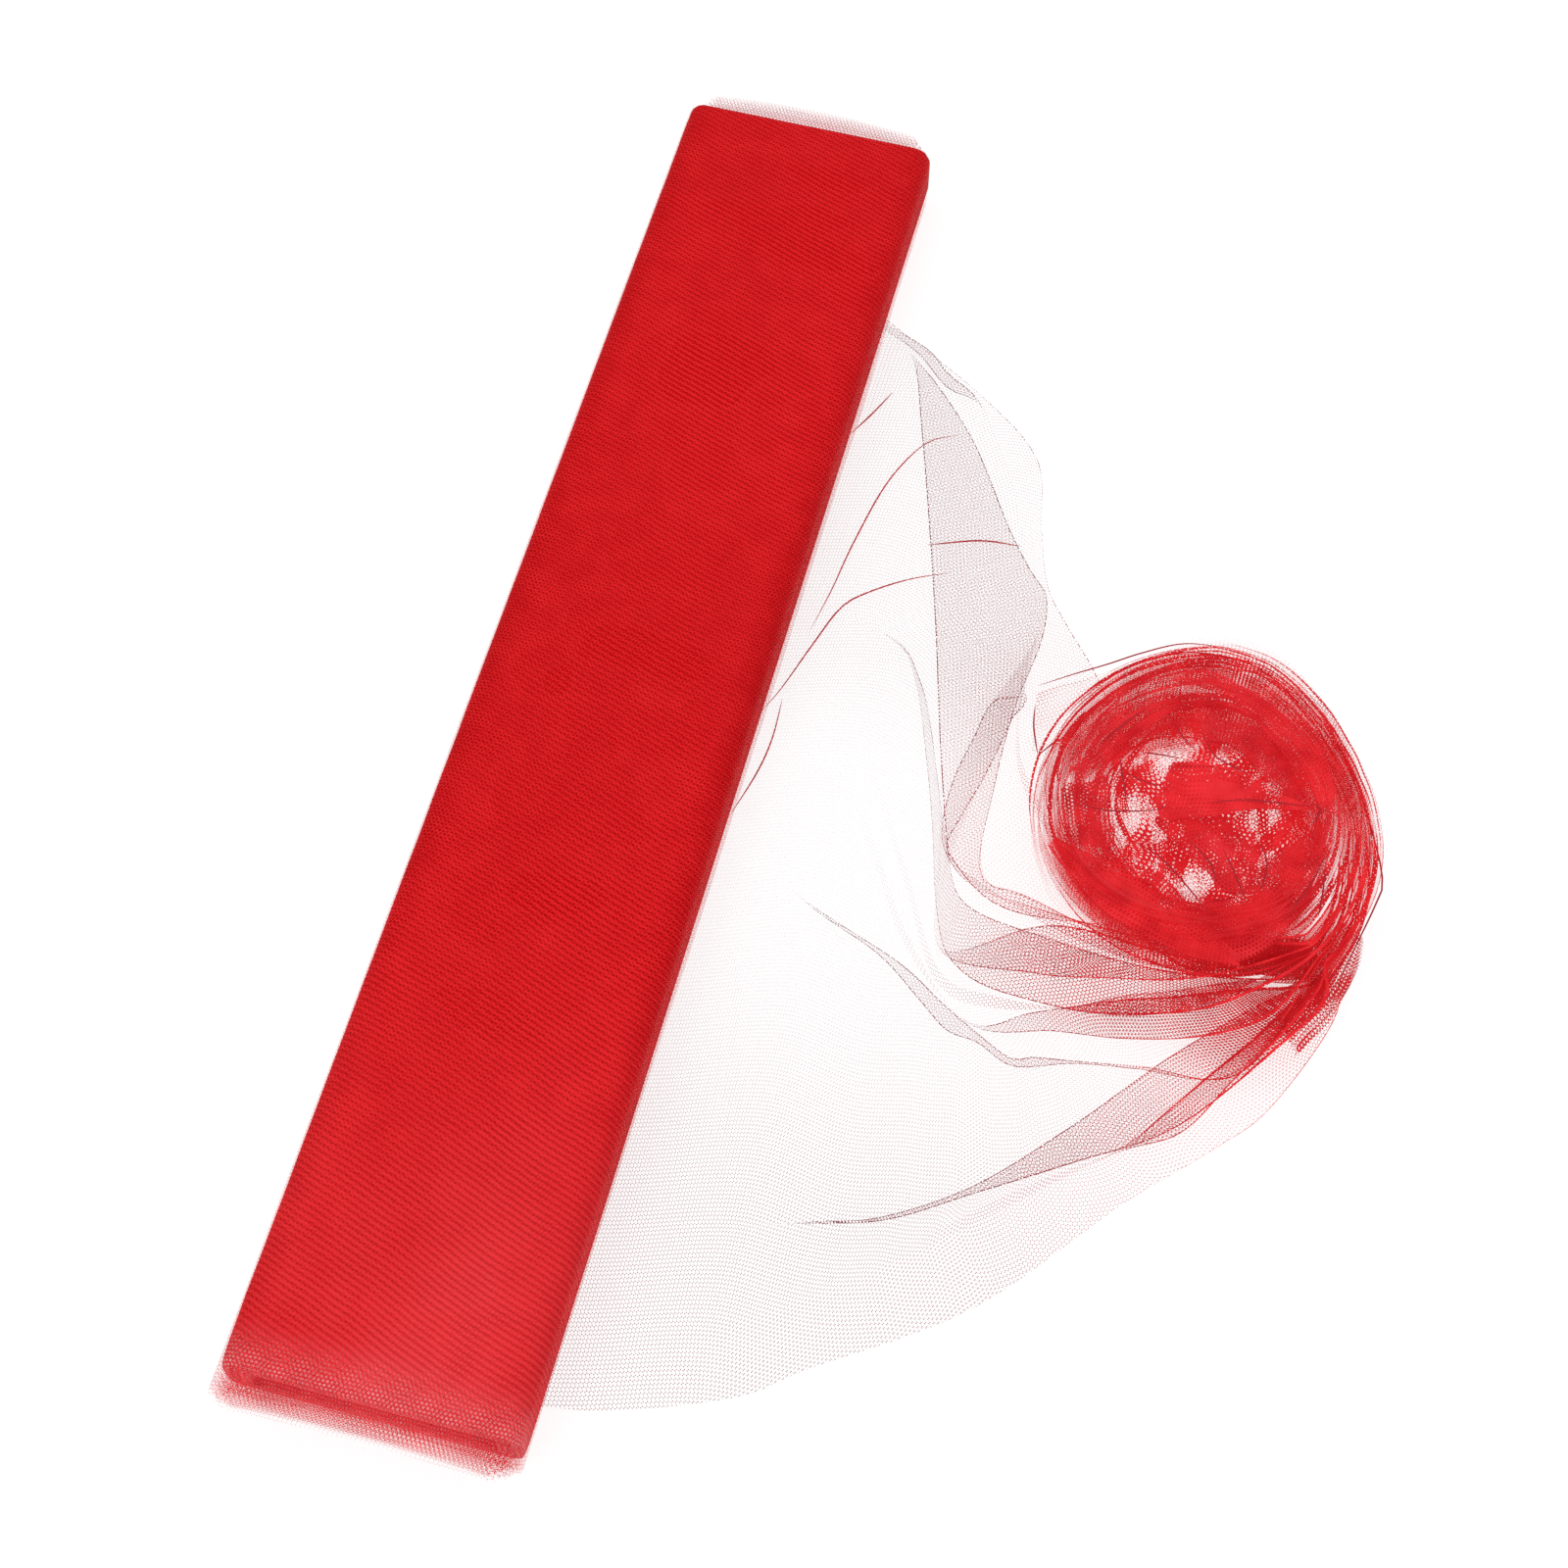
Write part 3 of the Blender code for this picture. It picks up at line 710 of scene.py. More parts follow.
def fan_line(number):
    """A line's places from the bolt's edge to the strand, and how open its fold is along it."""
    points, start, length = guide_lines[number]
    flat = [(bolt_high.x + x * MM, y * MM) for x, y in points]
    gather = strand_places([START_ANGLE, START_ANGLE + radians(12)], number)
    flat.append(tuple(gather[0][:2]))
    shares = np.linspace(0, 1, FAN_ROWS)
    ground = smooth_path(flat, shares, gather[1][:2])
    steps = np.linalg.norm(np.diff(np.array(flat), axis=0), axis=1)
    so_far = np.concatenate([[0], np.cumsum(steps)]) / steps.sum()
    if number in (0, LINES - 1):
        is_open = np.full(FAN_ROWS, EDGE_OPEN)
    else:
        is_open = ease((shares - so_far[start]) / OPEN_OVER + 0.2)
        if length:
            is_open = is_open * ease((so_far[start + length - 1] - shares) / OPEN_OVER + 0.2)
    rise = ease((shares - RISE_FROM) / (1 - RISE_FROM))
    lay = FOOT + LINE_LIFT * number + FOLD_LIFT * is_open * (number % 2)
    waves = drift(5, ground[:, 0] * FAN_WAVES_PER_METRE, ground[:, 1] * FAN_WAVES_PER_METRE)
    lay = lay + FAN_WAVE * (1 + waves)
    height = lay + (gather[0][2] - lay) * rise
    return np.column_stack([ground, height]), is_open


fan = [fan_line(number) for number in range(LINES)]
lines = np.stack([places for places, _ in fan], 1)
open_fold = np.stack([is_open for _, is_open in fan], 1)
print("fan:", lines.shape[0], "rows of", lines.shape[1], "lines")

# %% [markdown]
# ## How much thread shows
# The middle of the sheet lies flat and is nearly clear. It looks closer towards the bolt's
# two ends, and near the strand, where it is drawn together. Where a fold turns the cloth
# back there are more layers than the mesh has, so the threads are made wider there.

# %% Set how much thread shows
THIN_COVER = 0.55
NEAR_COVER = 0.95
FAR_COVER = 0.50
GATHER_COVER = 0.25
GATHER_FROM = 240 * MM
GATHER_OVER = 190 * MM
STRAND_COVER = 1.3
PLEAT_COVER = 3.2
strand_foot = lines[-1, LINES // 2]


def sheet_cover(places, turned_back):
    """How much thread shows at places on the fan, where turned_back is 1 in a layer that turns back."""
    distance = np.linalg.norm(places - strand_foot, axis=-1)
    y = places[:, 1]
    near_strand = ease((GATHER_FROM - distance) / GATHER_OVER)
    cover = THIN_COVER + NEAR_COVER * ease((-0.06 - y) / 0.16) + FAR_COVER * ease(y / 0.08)
    cover = cover + GATHER_COVER * near_strand + STRAND_COVER * ease((0.085 - distance) / 0.06)
    opening = near_strand * (1 - 0.6 * ease((0.10 - distance) / 0.06))
    opening = opening * (1 - 0.65 * ease((-0.080 - y) / 0.03))
    return cover * (1 + PLEAT_COVER * turned_back * opening)


print("cover at the strand's foot:", sheet_cover(lines[-1], 0)[[0, -1]].round(2))

# %% [markdown]
# ## Weave the whole cloth
# The rows of the cloth run from under the bolt, across the fan and on round the rosette.
# The columns between two lines are straight across, with a narrow one just beside each
# fold so that its edge can be thicker. The cloth's own places are measured along the rows
# and columns, so the mesh of the net keeps its size.

# %% Loft the drawn netting
UNDER_ROWS = 7
UNDER_LOW = 0.4 * MM
UNDER_HIGH = 0.9 * MM
STEP_ANGLE = radians(6.5)
INNER_COLUMNS = 4
EDGE_BAND = 0.7 * MM
FOLDED_HALF = (slab_high.y - slab_low.y) / 2
FOLD_COVER = 4.2
LAST_COVER = 1.6
FOOT_COVER = 1.6
WOUND_COVER = 1.7
FAN_GATHERED = 0.8

edge_far, edge_near = lines[0, 0, 1], lines[0, -1, 1]
straight = np.interp(lines[0, :, 1], [edge_near, edge_far], [-FOLDED_HALF, FOLDED_HALF])
under_share = np.linspace(0, 1, UNDER_ROWS)[:-1, None]
under = np.empty((UNDER_ROWS - 1, LINES, 3))
under[..., 0] = slab_low.x + (lines[0, :, 0] - slab_low.x) * under_share
under[..., 1] = straight + (lines[0, :, 1] - straight) * under_share
under[..., 2] = UNDER_LOW + (UNDER_HIGH - UNDER_LOW) * under_share
angles = np.arange(START_ANGLE, START_ANGLE + STRAND_SWEEP + TURNS * 2 * pi, STEP_ANGLE)[1:]
flat_rows = np.concatenate([under, lines])
widths = np.linalg.norm(np.diff(flat_rows, axis=1), axis=2)
strand_cover = WOUND_COVER + FOOT_COVER * ease((radians(45) - angles + START_ANGLE) / radians(30))


def column_part(column, band):
    """How far across from its line to the next a column stands, with a narrow band beside each line."""
    if column == 0:
        return np.zeros(len(band))
    if column == INNER_COLUMNS + 1:
        return 1 - band
    return band + (1 - 2 * band) * (column - 1) / INNER_COLUMNS


blocks, covers = [], []
for line in range(LINES - 1):
    band = np.clip(EDGE_BAND / np.maximum(widths[:, line], 1e-6), 0, 0.2)
    for column in range(INNER_COLUMNS + 2):
        part = column_part(column, band)
        place = flat_rows[:, line] + (flat_rows[:, line + 1] - flat_rows[:, line]) * part[:, None]
        wound = strand_places(angles, line, float(np.clip(part[-1], 0, 1)))
        blocks.append(np.vstack([place, wound]))
        fan_cover = np.ones(len(place))
        fan_cover[UNDER_ROWS - 1:] = sheet_cover(place[UNDER_ROWS - 1:], line % 2)
        wound_cover = strand_cover
        if column == 0:
            fan_cover[UNDER_ROWS - 1:] += FOLD_COVER * open_fold[:, line]
            wound_cover = np.full(len(angles), FOLD_COVER)
        covers.append(np.concatenate([fan_cover, wound_cover]))
blocks.append(np.vstack([flat_rows[:, -1], strand_places(angles, LINES - 1)]))
covers.append(np.concatenate([np.full(len(flat_rows), LAST_COVER), np.full(len(angles), FOLD_COVER)]))
places = np.stack(blocks, 1)
cover = np.stack(covers, 1)
print("rows and columns:", places.shape[:2])

# %% Measure the cloth and finish its cover
steps_across = np.linalg.norm(np.diff(places, axis=1), axis=2)
steps_along = np.linalg.norm(np.diff(places, axis=0), axis=2).mean(1)
u = np.concatenate([np.zeros((len(places), 1)), np.cumsum(steps_across, axis=1)], axis=1)
u = u - u[:, u.shape[1] // 2][:, None]
v = np.concatenate([[0], np.cumsum(steps_along)])
cloth = np.stack([u, np.broadcast_to(v[:, None], u.shape)], -1)

swept = np.concatenate([np.zeros(len(flat_rows)), angles - START_ANGLE])
around_share = np.broadcast_to(swept[:, None] * 0.9, u.shape)
line_share = np.broadcast_to(np.arange(u.shape[1]) * 0.31, u.shape)
streaks = 0.4 + 1.9 * ease((drift(6, around_share, line_share) + 0.05) / 0.14)
coiled = ease((swept - STRAND_SWEEP / 2) / TURN_IN)[:, None]
cover = cover * (1 + coiled * (0.55 * streaks - 1))

# Nearer the strand the fan takes more of the brighter red and the painted glow.
to_strand = np.linalg.norm(lines - strand_foot, axis=2)
nearness = ease((GATHER_FROM - to_strand) / GATHER_OVER).mean(1)
row_gathered = np.concatenate([np.zeros(UNDER_ROWS - 1), FAN_GATHERED * nearness, np.ones(len(angles))])
gathered = np.broadcast_to(row_gathered[:, None], u.shape)
drawn_cloth = cloth_from_rows("drawn_netting_cloth", places, cloth, netting, cover=cover, gathered=gathered)

# %% [markdown]
# ## The heart of the rosette
# The last of the cloth is crumpled into the middle of the rosette, layer on layer, with
# some parts thick and some thin enough to see through. One strip, folded back and forth
# over a disc, gives the layers, and smooth noise strong enough to push the cloth past
# itself gives the crumples. In three places the heart is left thin, like a small window.

# %% Crumple the heart
HEART_REACH = 50 * MM
HEART_LAYERS = 4
HEART_STEPS = 72
HEART_LOW = 6 * MM
HEART_HIGH = 30 * MM
CRUMPLE = 9 * MM
CRUMPLE_SIZE = 17 * MM
HEART_WAVE = 7 * MM
LAYER_TWIST = 0.9
PATCH_WIDE = 7 * MM
PATCH_LONG = 22 * MM
HEART_COVER = 1.5
HEART_THICK_COVER = 2.6
HEART_WINDOWS = ((-17, 29, 17), (-33, -6, 14), (0, -31, 12))


def heart_cloth():
    """The strip of the heart: rows go back and forth over a disc while the layers climb."""
    rows = HEART_LAYERS * HEART_STEPS
    climb = np.linspace(0, HEART_LAYERS, rows)[:, None]
    a = (1 - 2 * abs((climb % 2) - 1)) * np.ones((1, HEART_STEPS))
    b = np.linspace(-1, 1, HEART_STEPS)[None, :] * np.ones((rows, 1))
    climb = climb * np.ones((1, HEART_STEPS))
    x = HEART_REACH * a * np.sqrt(1 - b * b / 2)
    y = HEART_REACH * b * np.sqrt(1 - a * a / 2)
    twist = climb * LAYER_TWIST
    x, y = x * np.cos(twist) - y * np.sin(twist), x * np.sin(twist) + y * np.cos(twist)
    place = (x / CRUMPLE_SIZE, y / CRUMPLE_SIZE, climb * 0.8)
    crumpled_x = x + CRUMPLE * drift(21, *place)
    crumpled_y = y + CRUMPLE * drift(22, *place)
    level = HEART_LOW + (HEART_HIGH - HEART_LOW) * climb / HEART_LAYERS
    z = np.clip(level + HEART_WAVE * drift(23, *place), 2 * MM, ring_high.z - 4 * MM)
    patches = drift(24, x / PATCH_WIDE, y / PATCH_LONG, climb * 1.7)
    cover = HEART_COVER + HEART_THICK_COVER * ease((patches - 0.08) / 0.10)
    clear = np.zeros_like(x)
    for window_x, window_y, reach in HEART_WINDOWS:
        away = np.hypot(crumpled_x / MM - window_x, crumpled_y / MM - window_y)
        clear = np.maximum(clear, ease(1.5 * (1 - away / reach)))
    cover = cover * (1.25 - 0.7 * clear)
    places = np.stack([ring_middle.x + crumpled_x, ring_middle.y + crumpled_y, z], -1)
    length = climb * 2 * HEART_REACH
    cloth = np.stack([b * HEART_REACH, length], -1)
    gathered = np.ones_like(cover)
    piece = cloth_from_rows("rosette_heart_cloth", places, cloth, netting, cover=cover, gathered=gathered)
    return piece, float(length.max())


heart_piece, HEART_LENGTH = heart_cloth()
print("heart:", len(heart_piece.data.polygons), "faces, strip", round(HEART_LENGTH, 2), "m long")

# %% [markdown]
# ## Folded flaps over the heart
# Some of the cloth lies over the rosette as flat flaps with sharp edges. Each is a strip
# folded back and forth between two edges, and every layer strays a little, so the edges
# show as several fine lines. Each has its first edge, its second edge, its height, how
# much thread shows, and its layers. Places are in millimetres from the rosette's middle.

# %% Fold the flaps
FLAPS = {
    "middle_flap": ([(-19, 18), (-9, 21), (3, 23), (18, 19), (28, 15), (46, 12)],
                    [(-22, -6), (-16, -14), (-4, -8), (15, 0), (30, 6), (46, 11)], 36, 4.8, 3),
    "under_flap": ([(-14, 10), (-6, 8), (10, 0), (22, -10), (32, -14), (44, -4)],
                   [(-20, -12), (-10, -20), (6, -30), (16, -38), (28, -34), (42, -20)], 30, 3.6, 3),
    "lower_left_flap": ([(-61, -30), (-41, -36), (-26, -35), (-14, -35), (4, -48), (15, -58), (27, -67)],
                        [(-63, -36), (-50, -50), (-35, -60), (-21, -66), (-6, -70), (10, -72), (28, -72)],
                        32, 4.2, 3),
    "lower_right_flap": ([(4, -48), (12, -42), (21, -36), (28, -24), (38, -8), (50, 4)],
                         [(24, -71), (34, -65), (43, -54), (51, -38), (56, -22), (58, -6)], 31, 3.6, 3),
    "upper_right_flap": ([(-27, 61), (-9, 60), (8, 54), (26, 40), (41, 25), (50, 12)],
                         [(-23, 67), (-8, 70), (12, 64), (31, 53), (47, 38), (56, 20)], 34, 3.8, 3),
    "inner_right_flap": ([(-5, 34), (3, 34), (15, 30), (28, 19), (45, 14)],
                         [(-15, 54), (2, 57), (19, 48), (34, 33), (49, 13)], 30, 3.0, 3),
    "upper_left_flap": ([(-62, 1), (-49, 12), (-39, 25), (-30, 38), (-19, 53)],
                        [(-63, 6), (-54, 17), (-43, 30), (-32, 43), (-18, 58)], 33, 3.8, 2),
    "left_flap": ([(-64, -5), (-60, -17), (-56, -32)], [(-46, 6), (-40, -12), (-35, -28)], 31, 3.4, 3),
    "strand_flap": ([(50, -80), (57, -66), (64, -50), (68, -38), (73, -26)],
                    [(62, -96), (71, -80), (77, -64), (80, -50), (81, -34)], 10, 2.9, 3),
    "outer_flap": ([(-85, 50), (-72, 60), (-57, 70), (-43, 80), (-25, 89)],
                   [(-80, 18), (-71, 26), (-62, 40), (-50, 56), (-30, 72)], 14, 1.6, 1),
}
FLAP_COLUMNS = 40
FLAP_ROWS = 9
FLAP_STRAY = 2.2 * MM
FLAP_GAP = 0.7 * MM
FLAP_WAVE = 1.6 * MM
STRAYS_PER_METRE = 45


def flap(name, first, second, height, cover, layers):
    """A strip folded back and forth between two edges, a little higher every time."""
    along = np.linspace(0, 1, FLAP_COLUMNS)
    edges = [smooth_path([(x * MM, y * MM) for x, y in edge], along) for edge in (first, second)]
    climb = np.linspace(0, layers, layers * FLAP_ROWS)[:, None] * np.ones((1, FLAP_COLUMNS))
    over = 1 - abs((climb % 2) - 1)
    ground = edges[0][None] + (edges[1] - edges[0])[None] * over[..., None]
    stray_place = (ground[..., 0] * STRAYS_PER_METRE, ground[..., 1] * STRAYS_PER_METRE, climb * 1.4)
    x = ring_middle.x + ground[..., 0] + FLAP_STRAY * drift(26, *stray_place)
    y = ring_middle.y + ground[..., 1] + FLAP_STRAY * drift(27, *stray_place)
    z = height * MM + FLAP_GAP * climb + FLAP_WAVE * drift(28, *stray_place)
    places = np.stack([x, y, z], -1)
    lengths = np.linalg.norm(np.diff(places, axis=1), axis=2)
    u = np.concatenate([np.zeros((len(places), 1)), np.cumsum(lengths, axis=1)], axis=1) + climb * 0.8 * MM
    strip = np.linalg.norm(np.diff(places, axis=0), axis=2).mean(1)
    v = np.concatenate([[0], np.cumsum(strip)])[:, None] + 0 * u
    worn = cover * (0.85 + 1.1 * drift(29, u * 40, over * 3.3, climb))
    # Denser flaps take more of the brighter red and the painted glow.
    lit_share = np.full_like(worn, min(1.0, 0.3 + cover / 6))
    return cloth_from_rows(name, places, np.stack([u, v], -1), netting, cover=worn, gathered=lit_share)


flaps = [flap(name, *shape) for name, shape in FLAPS.items()]
print("flaps:", len(flaps), "with", sum(len(piece.data.polygons) for piece in flaps), "faces")

# %% [markdown]
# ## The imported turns
# The bolt itself is netting wound round the board until nothing shows through. Its inner
# turns are made as one closed form: a rounded rectangle lofted along the bolt, a little
# crowned on top, that runs in at each end to the hole where the board sits. The outer
# turns and the loose ends of the turns come later, as real layers of net over this form.

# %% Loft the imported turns
PACK_NEAR = -337 * MM
PACK_FAR = 350 * MM
SHELL_ROOM = 0.9 * MM
PACK_CORNER = 7 * MM
CROWN = 0.5 * MM
WRINKLE = 0.45 * MM
FAR_WRINKLE = 0.9 * MM
NEAR_SLOPE = ((0.0, 0), (0.66, 0), (0.82, 2), (0.93, 6), (0.98, 11))
ROUND_STEPS = 14
PACK_ROWS = 120
HOLE_GAP = 0.4 * MM


def rounded_outline(half_wide, half_high, corner, steps=ROUND_STEPS):
    """Places (x, z) round a rectangle with round corners, anticlockwise from the right foot."""
    corner = min(corner, half_wide, half_high)
    spots = []
    for k, (sx, sz) in enumerate(((1, -1), (1, 1), (-1, 1), (-1, -1))):
        middle = (sx * (half_wide - corner), sz * (half_high - corner))
        for a in np.linspace(k * pi / 2 - pi / 2, k * pi / 2, steps):
            spots.append((middle[0] + corner * cos(a), middle[1] + corner * sin(a)))
    spots.append(spots[0])
    spots = np.array(spots)
    along = np.concatenate([[0], np.cumsum(np.linalg.norm(np.diff(spots, axis=0), axis=1))])
    even = np.linspace(0, along[-1], 4 * steps + 60)
    return np.stack([np.interp(even, along, spots[:, k]) for k in (0, 1)], -1), even


def packed_turns():
    """The closed form of the inner turns: up the near end, along the outside and down the hole."""
    middle_z = (bolt_low.z + bolt_high.z) / 2
    half_wide = (bolt_high.x - bolt_low.x) / 2 - SHELL_ROOM
    half_high = (bolt_high.z - bolt_low.z) / 2 - 0.6 * MM
    hole_wide = (board_high.x - board_low.x) / 2 + HOLE_GAP
    hole_high = (board_high.z - board_low.z) / 2 + HOLE_GAP
    outer, even = rounded_outline(half_wide, half_high, PACK_CORNER)
    inner, _ = rounded_outline(hole_wide, hole_high, 2 * MM)
    board_middle = (board_low.z + board_high.z) / 2
    section = [(share, PACK_NEAR + slope * MM) for share, slope in NEAR_SLOPE]
    section += [(1.0, y) for y in np.linspace(PACK_NEAR + 17 * MM, PACK_FAR - 2 * MM, PACK_ROWS)]
    section += [(0.93, PACK_FAR), (0.5, PACK_FAR + 1 * MM), (0.0, PACK_FAR), (0.0, 0.0), (0.0, PACK_NEAR)]
    rows, cloth = [], []
    reach = 0.0
    before = None
    for share, y in section:
        wide_share = 1 - (1 - share) ** 3 if y < 0 else share
        ring = np.column_stack([inner[:, 0] * (1 - wide_share) + outer[:, 0] * wide_share,
                                inner[:, 1] * (1 - share) + outer[:, 1] * share])
        z = ring[:, 1] + board_middle * (1 - share) + middle_z * share
        crown = CROWN * share * np.cos(np.clip(ring[:, 0] / half_wide, -1, 1) * pi / 2)
        wrinkle = WRINKLE * drift(8, ring[:, 0] * 14, np.full(len(ring), y * 42)) * share
        far_wrinkle = FAR_WRINKLE * drift(9, ring[:, 0] * 9, np.full(len(ring), y * 60)) * share
        far_wrinkle = far_wrinkle * ease((y - 0.22) / 0.06)
        z = z + np.where(ring[:, 1] > 0, crown + wrinkle + far_wrinkle, 0)
        rows.append(np.column_stack([ring[:, 0], np.full(len(ring), y), z]))
        here = np.array([share * (half_high - hole_high), y])
        reach += 0 if before is None else float(np.linalg.norm(here - before))
        before = here
        cloth.append(np.column_stack([even, np.full(len(even), reach)]))
    return cloth_from_rows("packed_turns", np.array(rows), np.array(cloth), packed)


def close_seams(piece, reach=1e-5):
    """Merges the places where a piece meets itself, and turns its faces outwards."""
    bm = bmesh.new()
    bm.from_mesh(piece.data)
    bmesh.ops.remove_doubles(bm, verts=bm.verts, dist=reach)
    bmesh.ops.recalc_face_normals(bm, faces=bm.faces)
    bm.to_mesh(piece.data)
    bm.free()


packed_piece = packed_turns()
close_seams(packed_piece)
print("packed turns:", len(packed_piece.data.polygons), "faces")

# %% [markdown]
# ## Turns of net, by Geometry Nodes
# The outer turns, and the ends of the turns that stand out past the board, are the same
# thing over and over: a sleeve of net whose section is the bolt's, a little larger each
# time and ragged at its end. Geometry Nodes suit that. The tree puts one flat grid on a
# point for each turn, makes the copies real, and bends each grid round a filleted
# quadrilateral by reading the curve at the grid's own place.

# %% Build the turns tree


def geometry_tree(name, inputs):
    """A Geometry Nodes tree that makes a shape from its inputs alone."""
    tree = bpy.data.node_groups.new(name, "GeometryNodeTree")
    tree.interface.new_socket("Geometry", in_out="OUTPUT", socket_type="NodeSocketGeometry")
    for label, kind, value in inputs:
        socket = tree.interface.new_socket(label, in_out="INPUT", socket_type="NodeSocket" + kind)
        if value is not None:
            socket.default_value = value
    w = Wires(tree)
    return tree, w, w.add("NodeGroupInput").outputs


def stored(w, geometry, name, value, data_type="FLOAT", domain="POINT"):
    """The geometry with a named attribute stored on it."""
    node = w.add("GeometryNodeStoreNamedAttribute", data_type=data_type, domain=domain)
    w.put(node.inputs["Geometry"], geometry)
    w.put(node.inputs["Name"], name)
    w.put(node.inputs["Value"], value)
    return node.outputs["Geometry"]


def named(w, name, data_type="FLOAT"):
    """A named attribute's value."""
    node = w.add("GeometryNodeInputNamedAttribute", data_type=data_type)
    w.put(node.inputs["Name"], name)
    return node.outputs["Attribute"]


def turns_tree():
    """Sleeves of net round the bolt, one for each turn."""
    inputs = (("Turns", "Int", 3), ("Width", "Float", 0.12), ("Height", "Float", 0.03),
              ("Corner", "Float", 0.01), ("Spacing", "Float", 0.0004), ("From", "Float", 0.0),
              ("To", "Float", 0.1), ("Scatter", "Float", 0.0),
              ("Ragged", "Float", 0.0), ("Plan Corner", "Float", 0.004), ("Slack", "Float", 0.0),
              ("Undercut", "Float", 0.0), ("Both Ends", "Float", 0.0), ("Bow", "Float", 0.0),
              ("Around", "Int", 110), ("Along", "Int", 6), ("Cover", "Float", 1.0),
              ("Gathered", "Float", 1.0), ("Centre", "Vector", (0, 0, 0)), ("Seed", "Int", 1),
              ("Finish", "Material", None))
    tree, w, given = geometry_tree("turns_of_net", inputs)
    quad = w.add("GeometryNodeCurvePrimitiveQuadrilateral")
    w.put(quad.inputs["Width"], given["Width"])
    w.put(quad.inputs["Height"], given["Height"])
    fillet = w.add("GeometryNodeFilletCurve")
    if "Mode" in fillet.inputs:
        fillet.inputs["Mode"].default_value = "Poly"
    else:
        fillet.mode = "POLY"
    w.put(fillet.inputs["Curve"], quad.outputs[0])
    w.put(fillet.inputs["Count"], 8)
    w.put(fillet.inputs["Radius"], given["Corner"])
    grid = w.add("GeometryNodeMeshGrid")
    w.put(grid.inputs["Size X"], 1.0)
    w.put(grid.inputs["Size Y"], 1.0)
    w.put(grid.inputs["Vertices X"], given["Around"])
    w.put(grid.inputs["Vertices Y"], given["Along"])
    gauge = w.vector("ADD", w.add("GeometryNodeInputPosition").outputs[0], (0.5, 0.5, 0))
    gauged = stored(w, grid.outputs["Mesh"], "gauge", gauge, "FLOAT_VECTOR")
    points = w.add("GeometryNodePoints")
    w.put(points.inputs["Count"], given["Turns"])
    numbered = stored(w, points.outputs[0], "turn", w.add("GeometryNodeInputIndex").outputs[0])
    copies = w.add("GeometryNodeInstanceOnPoints")
    w.put(copies.inputs["Points"], numbered)
    w.put(copies.inputs["Instance"], gauged)
    real = w.add("GeometryNodeRealizeInstances", copies.outputs[0]).outputs[0]
    turn = named(w, "turn")
    round_share, long_share, _ = w.add("ShaderNodeSeparateXYZ", named(w, "gauge", "FLOAT_VECTOR")).outputs[:3]
    sample = w.add("GeometryNodeSampleCurve", mode="FACTOR", use_all_curves=True)
    w.put(sample.inputs["Curves"], fillet.outputs[0])
    w.put(sample.inputs["Factor"], round_share)
    out_way = w.vector("CROSS_PRODUCT", sample.outputs["Tangent"], (0, 0, 1))
    away = w.math("MULTIPLY", turn, given["Spacing"])
    spot = w.add("ShaderNodeCombineXYZ")
    w.put(spot.inputs[0], w.math("MULTIPLY", round_share, 9.0))
    w.put(spot.inputs[1], w.math("MULTIPLY", long_share, 14.0))
    w.put(spot.inputs[2], w.math("ADD", w.math("MULTIPLY", turn, 3.7), given["Seed"]))
    ripple = w.add("ShaderNodeTexNoise")
    w.put(ripple.inputs["Vector"], spot.outputs[0])
    ripple.inputs["Scale"].default_value = 1.0
    ripple.inputs["Detail"].default_value = 1.0
    away = w.math("ADD", away, w.math("MULTIPLY", ripple.outputs[0], given["Slack"]))
    section = w.vector("ADD", sample.outputs["Position"], w.vector("SCALE", out_way, away))
    wide, high, _ = w.add("ShaderNodeSeparateXYZ", section).outputs[:3]
    chance = w.add("FunctionNodeRandomValue", data_type="FLOAT")
    w.put(chance.inputs["ID"], turn)
    w.put(chance.inputs["Seed"], given["Seed"])
    short = w.math("MULTIPLY", chance.outputs[1], given["Scatter"])
    short = w.math("ADD", short, w.math("MULTIPLY", ripple.outputs[0], given["Ragged"]))
    half = w.math("SUBTRACT", w.math("MULTIPLY", given["Width"], 0.5), given["Plan Corner"])
    into = w.math("DIVIDE", w.math("SUBTRACT", w.math("ABSOLUTE", wide), half), given["Plan Corner"])
    into = w.math("MINIMUM", w.math("MAXIMUM", into, 0.0), 1.0)
    cut = w.math("SUBTRACT", 1.0, w.math("SQRT", w.math("SUBTRACT", 1.0, w.math("MULTIPLY", into, into))))
    short = w.math("ADD", short, w.math("MULTIPLY", cut, given["Plan Corner"]))
    low_share = w.math("SUBTRACT", 0.5, w.math("DIVIDE", high, given["Height"]))
    short = w.math("ADD", short, w.math("MULTIPLY", low_share, given["Undercut"]))
    out_share = w.math("DIVIDE", wide, w.math("MULTIPLY", given["Width"], 0.5))
    bowed = w.math("SUBTRACT", 1.0, w.math("MULTIPLY", out_share, out_share))
    short = w.math("SUBTRACT", short, w.math("MULTIPLY", w.math("MAXIMUM", bowed, 0.0), given["Bow"]))
    way = w.math("SIGN", w.math("SUBTRACT", given["To"], given["From"]))
    pulled = w.math("MULTIPLY", short, way)
    tip = w.math("SUBTRACT", given["To"], pulled)
    start = w.math("ADD", given["From"], w.math("MULTIPLY", pulled, given["Both Ends"]))
    along = w.math("ADD", start, w.math("MULTIPLY", w.math("SUBTRACT", tip, start), long_share))
    place = w.add("ShaderNodeCombineXYZ")
    w.put(place.inputs[0], wide)
    w.put(place.inputs[1], along)
    w.put(place.inputs[2], high)
    moved = w.add("GeometryNodeSetPosition")
    w.put(moved.inputs["Geometry"], real)
    w.put(moved.inputs["Position"], w.vector("ADD", place.outputs[0], given["Centre"]))
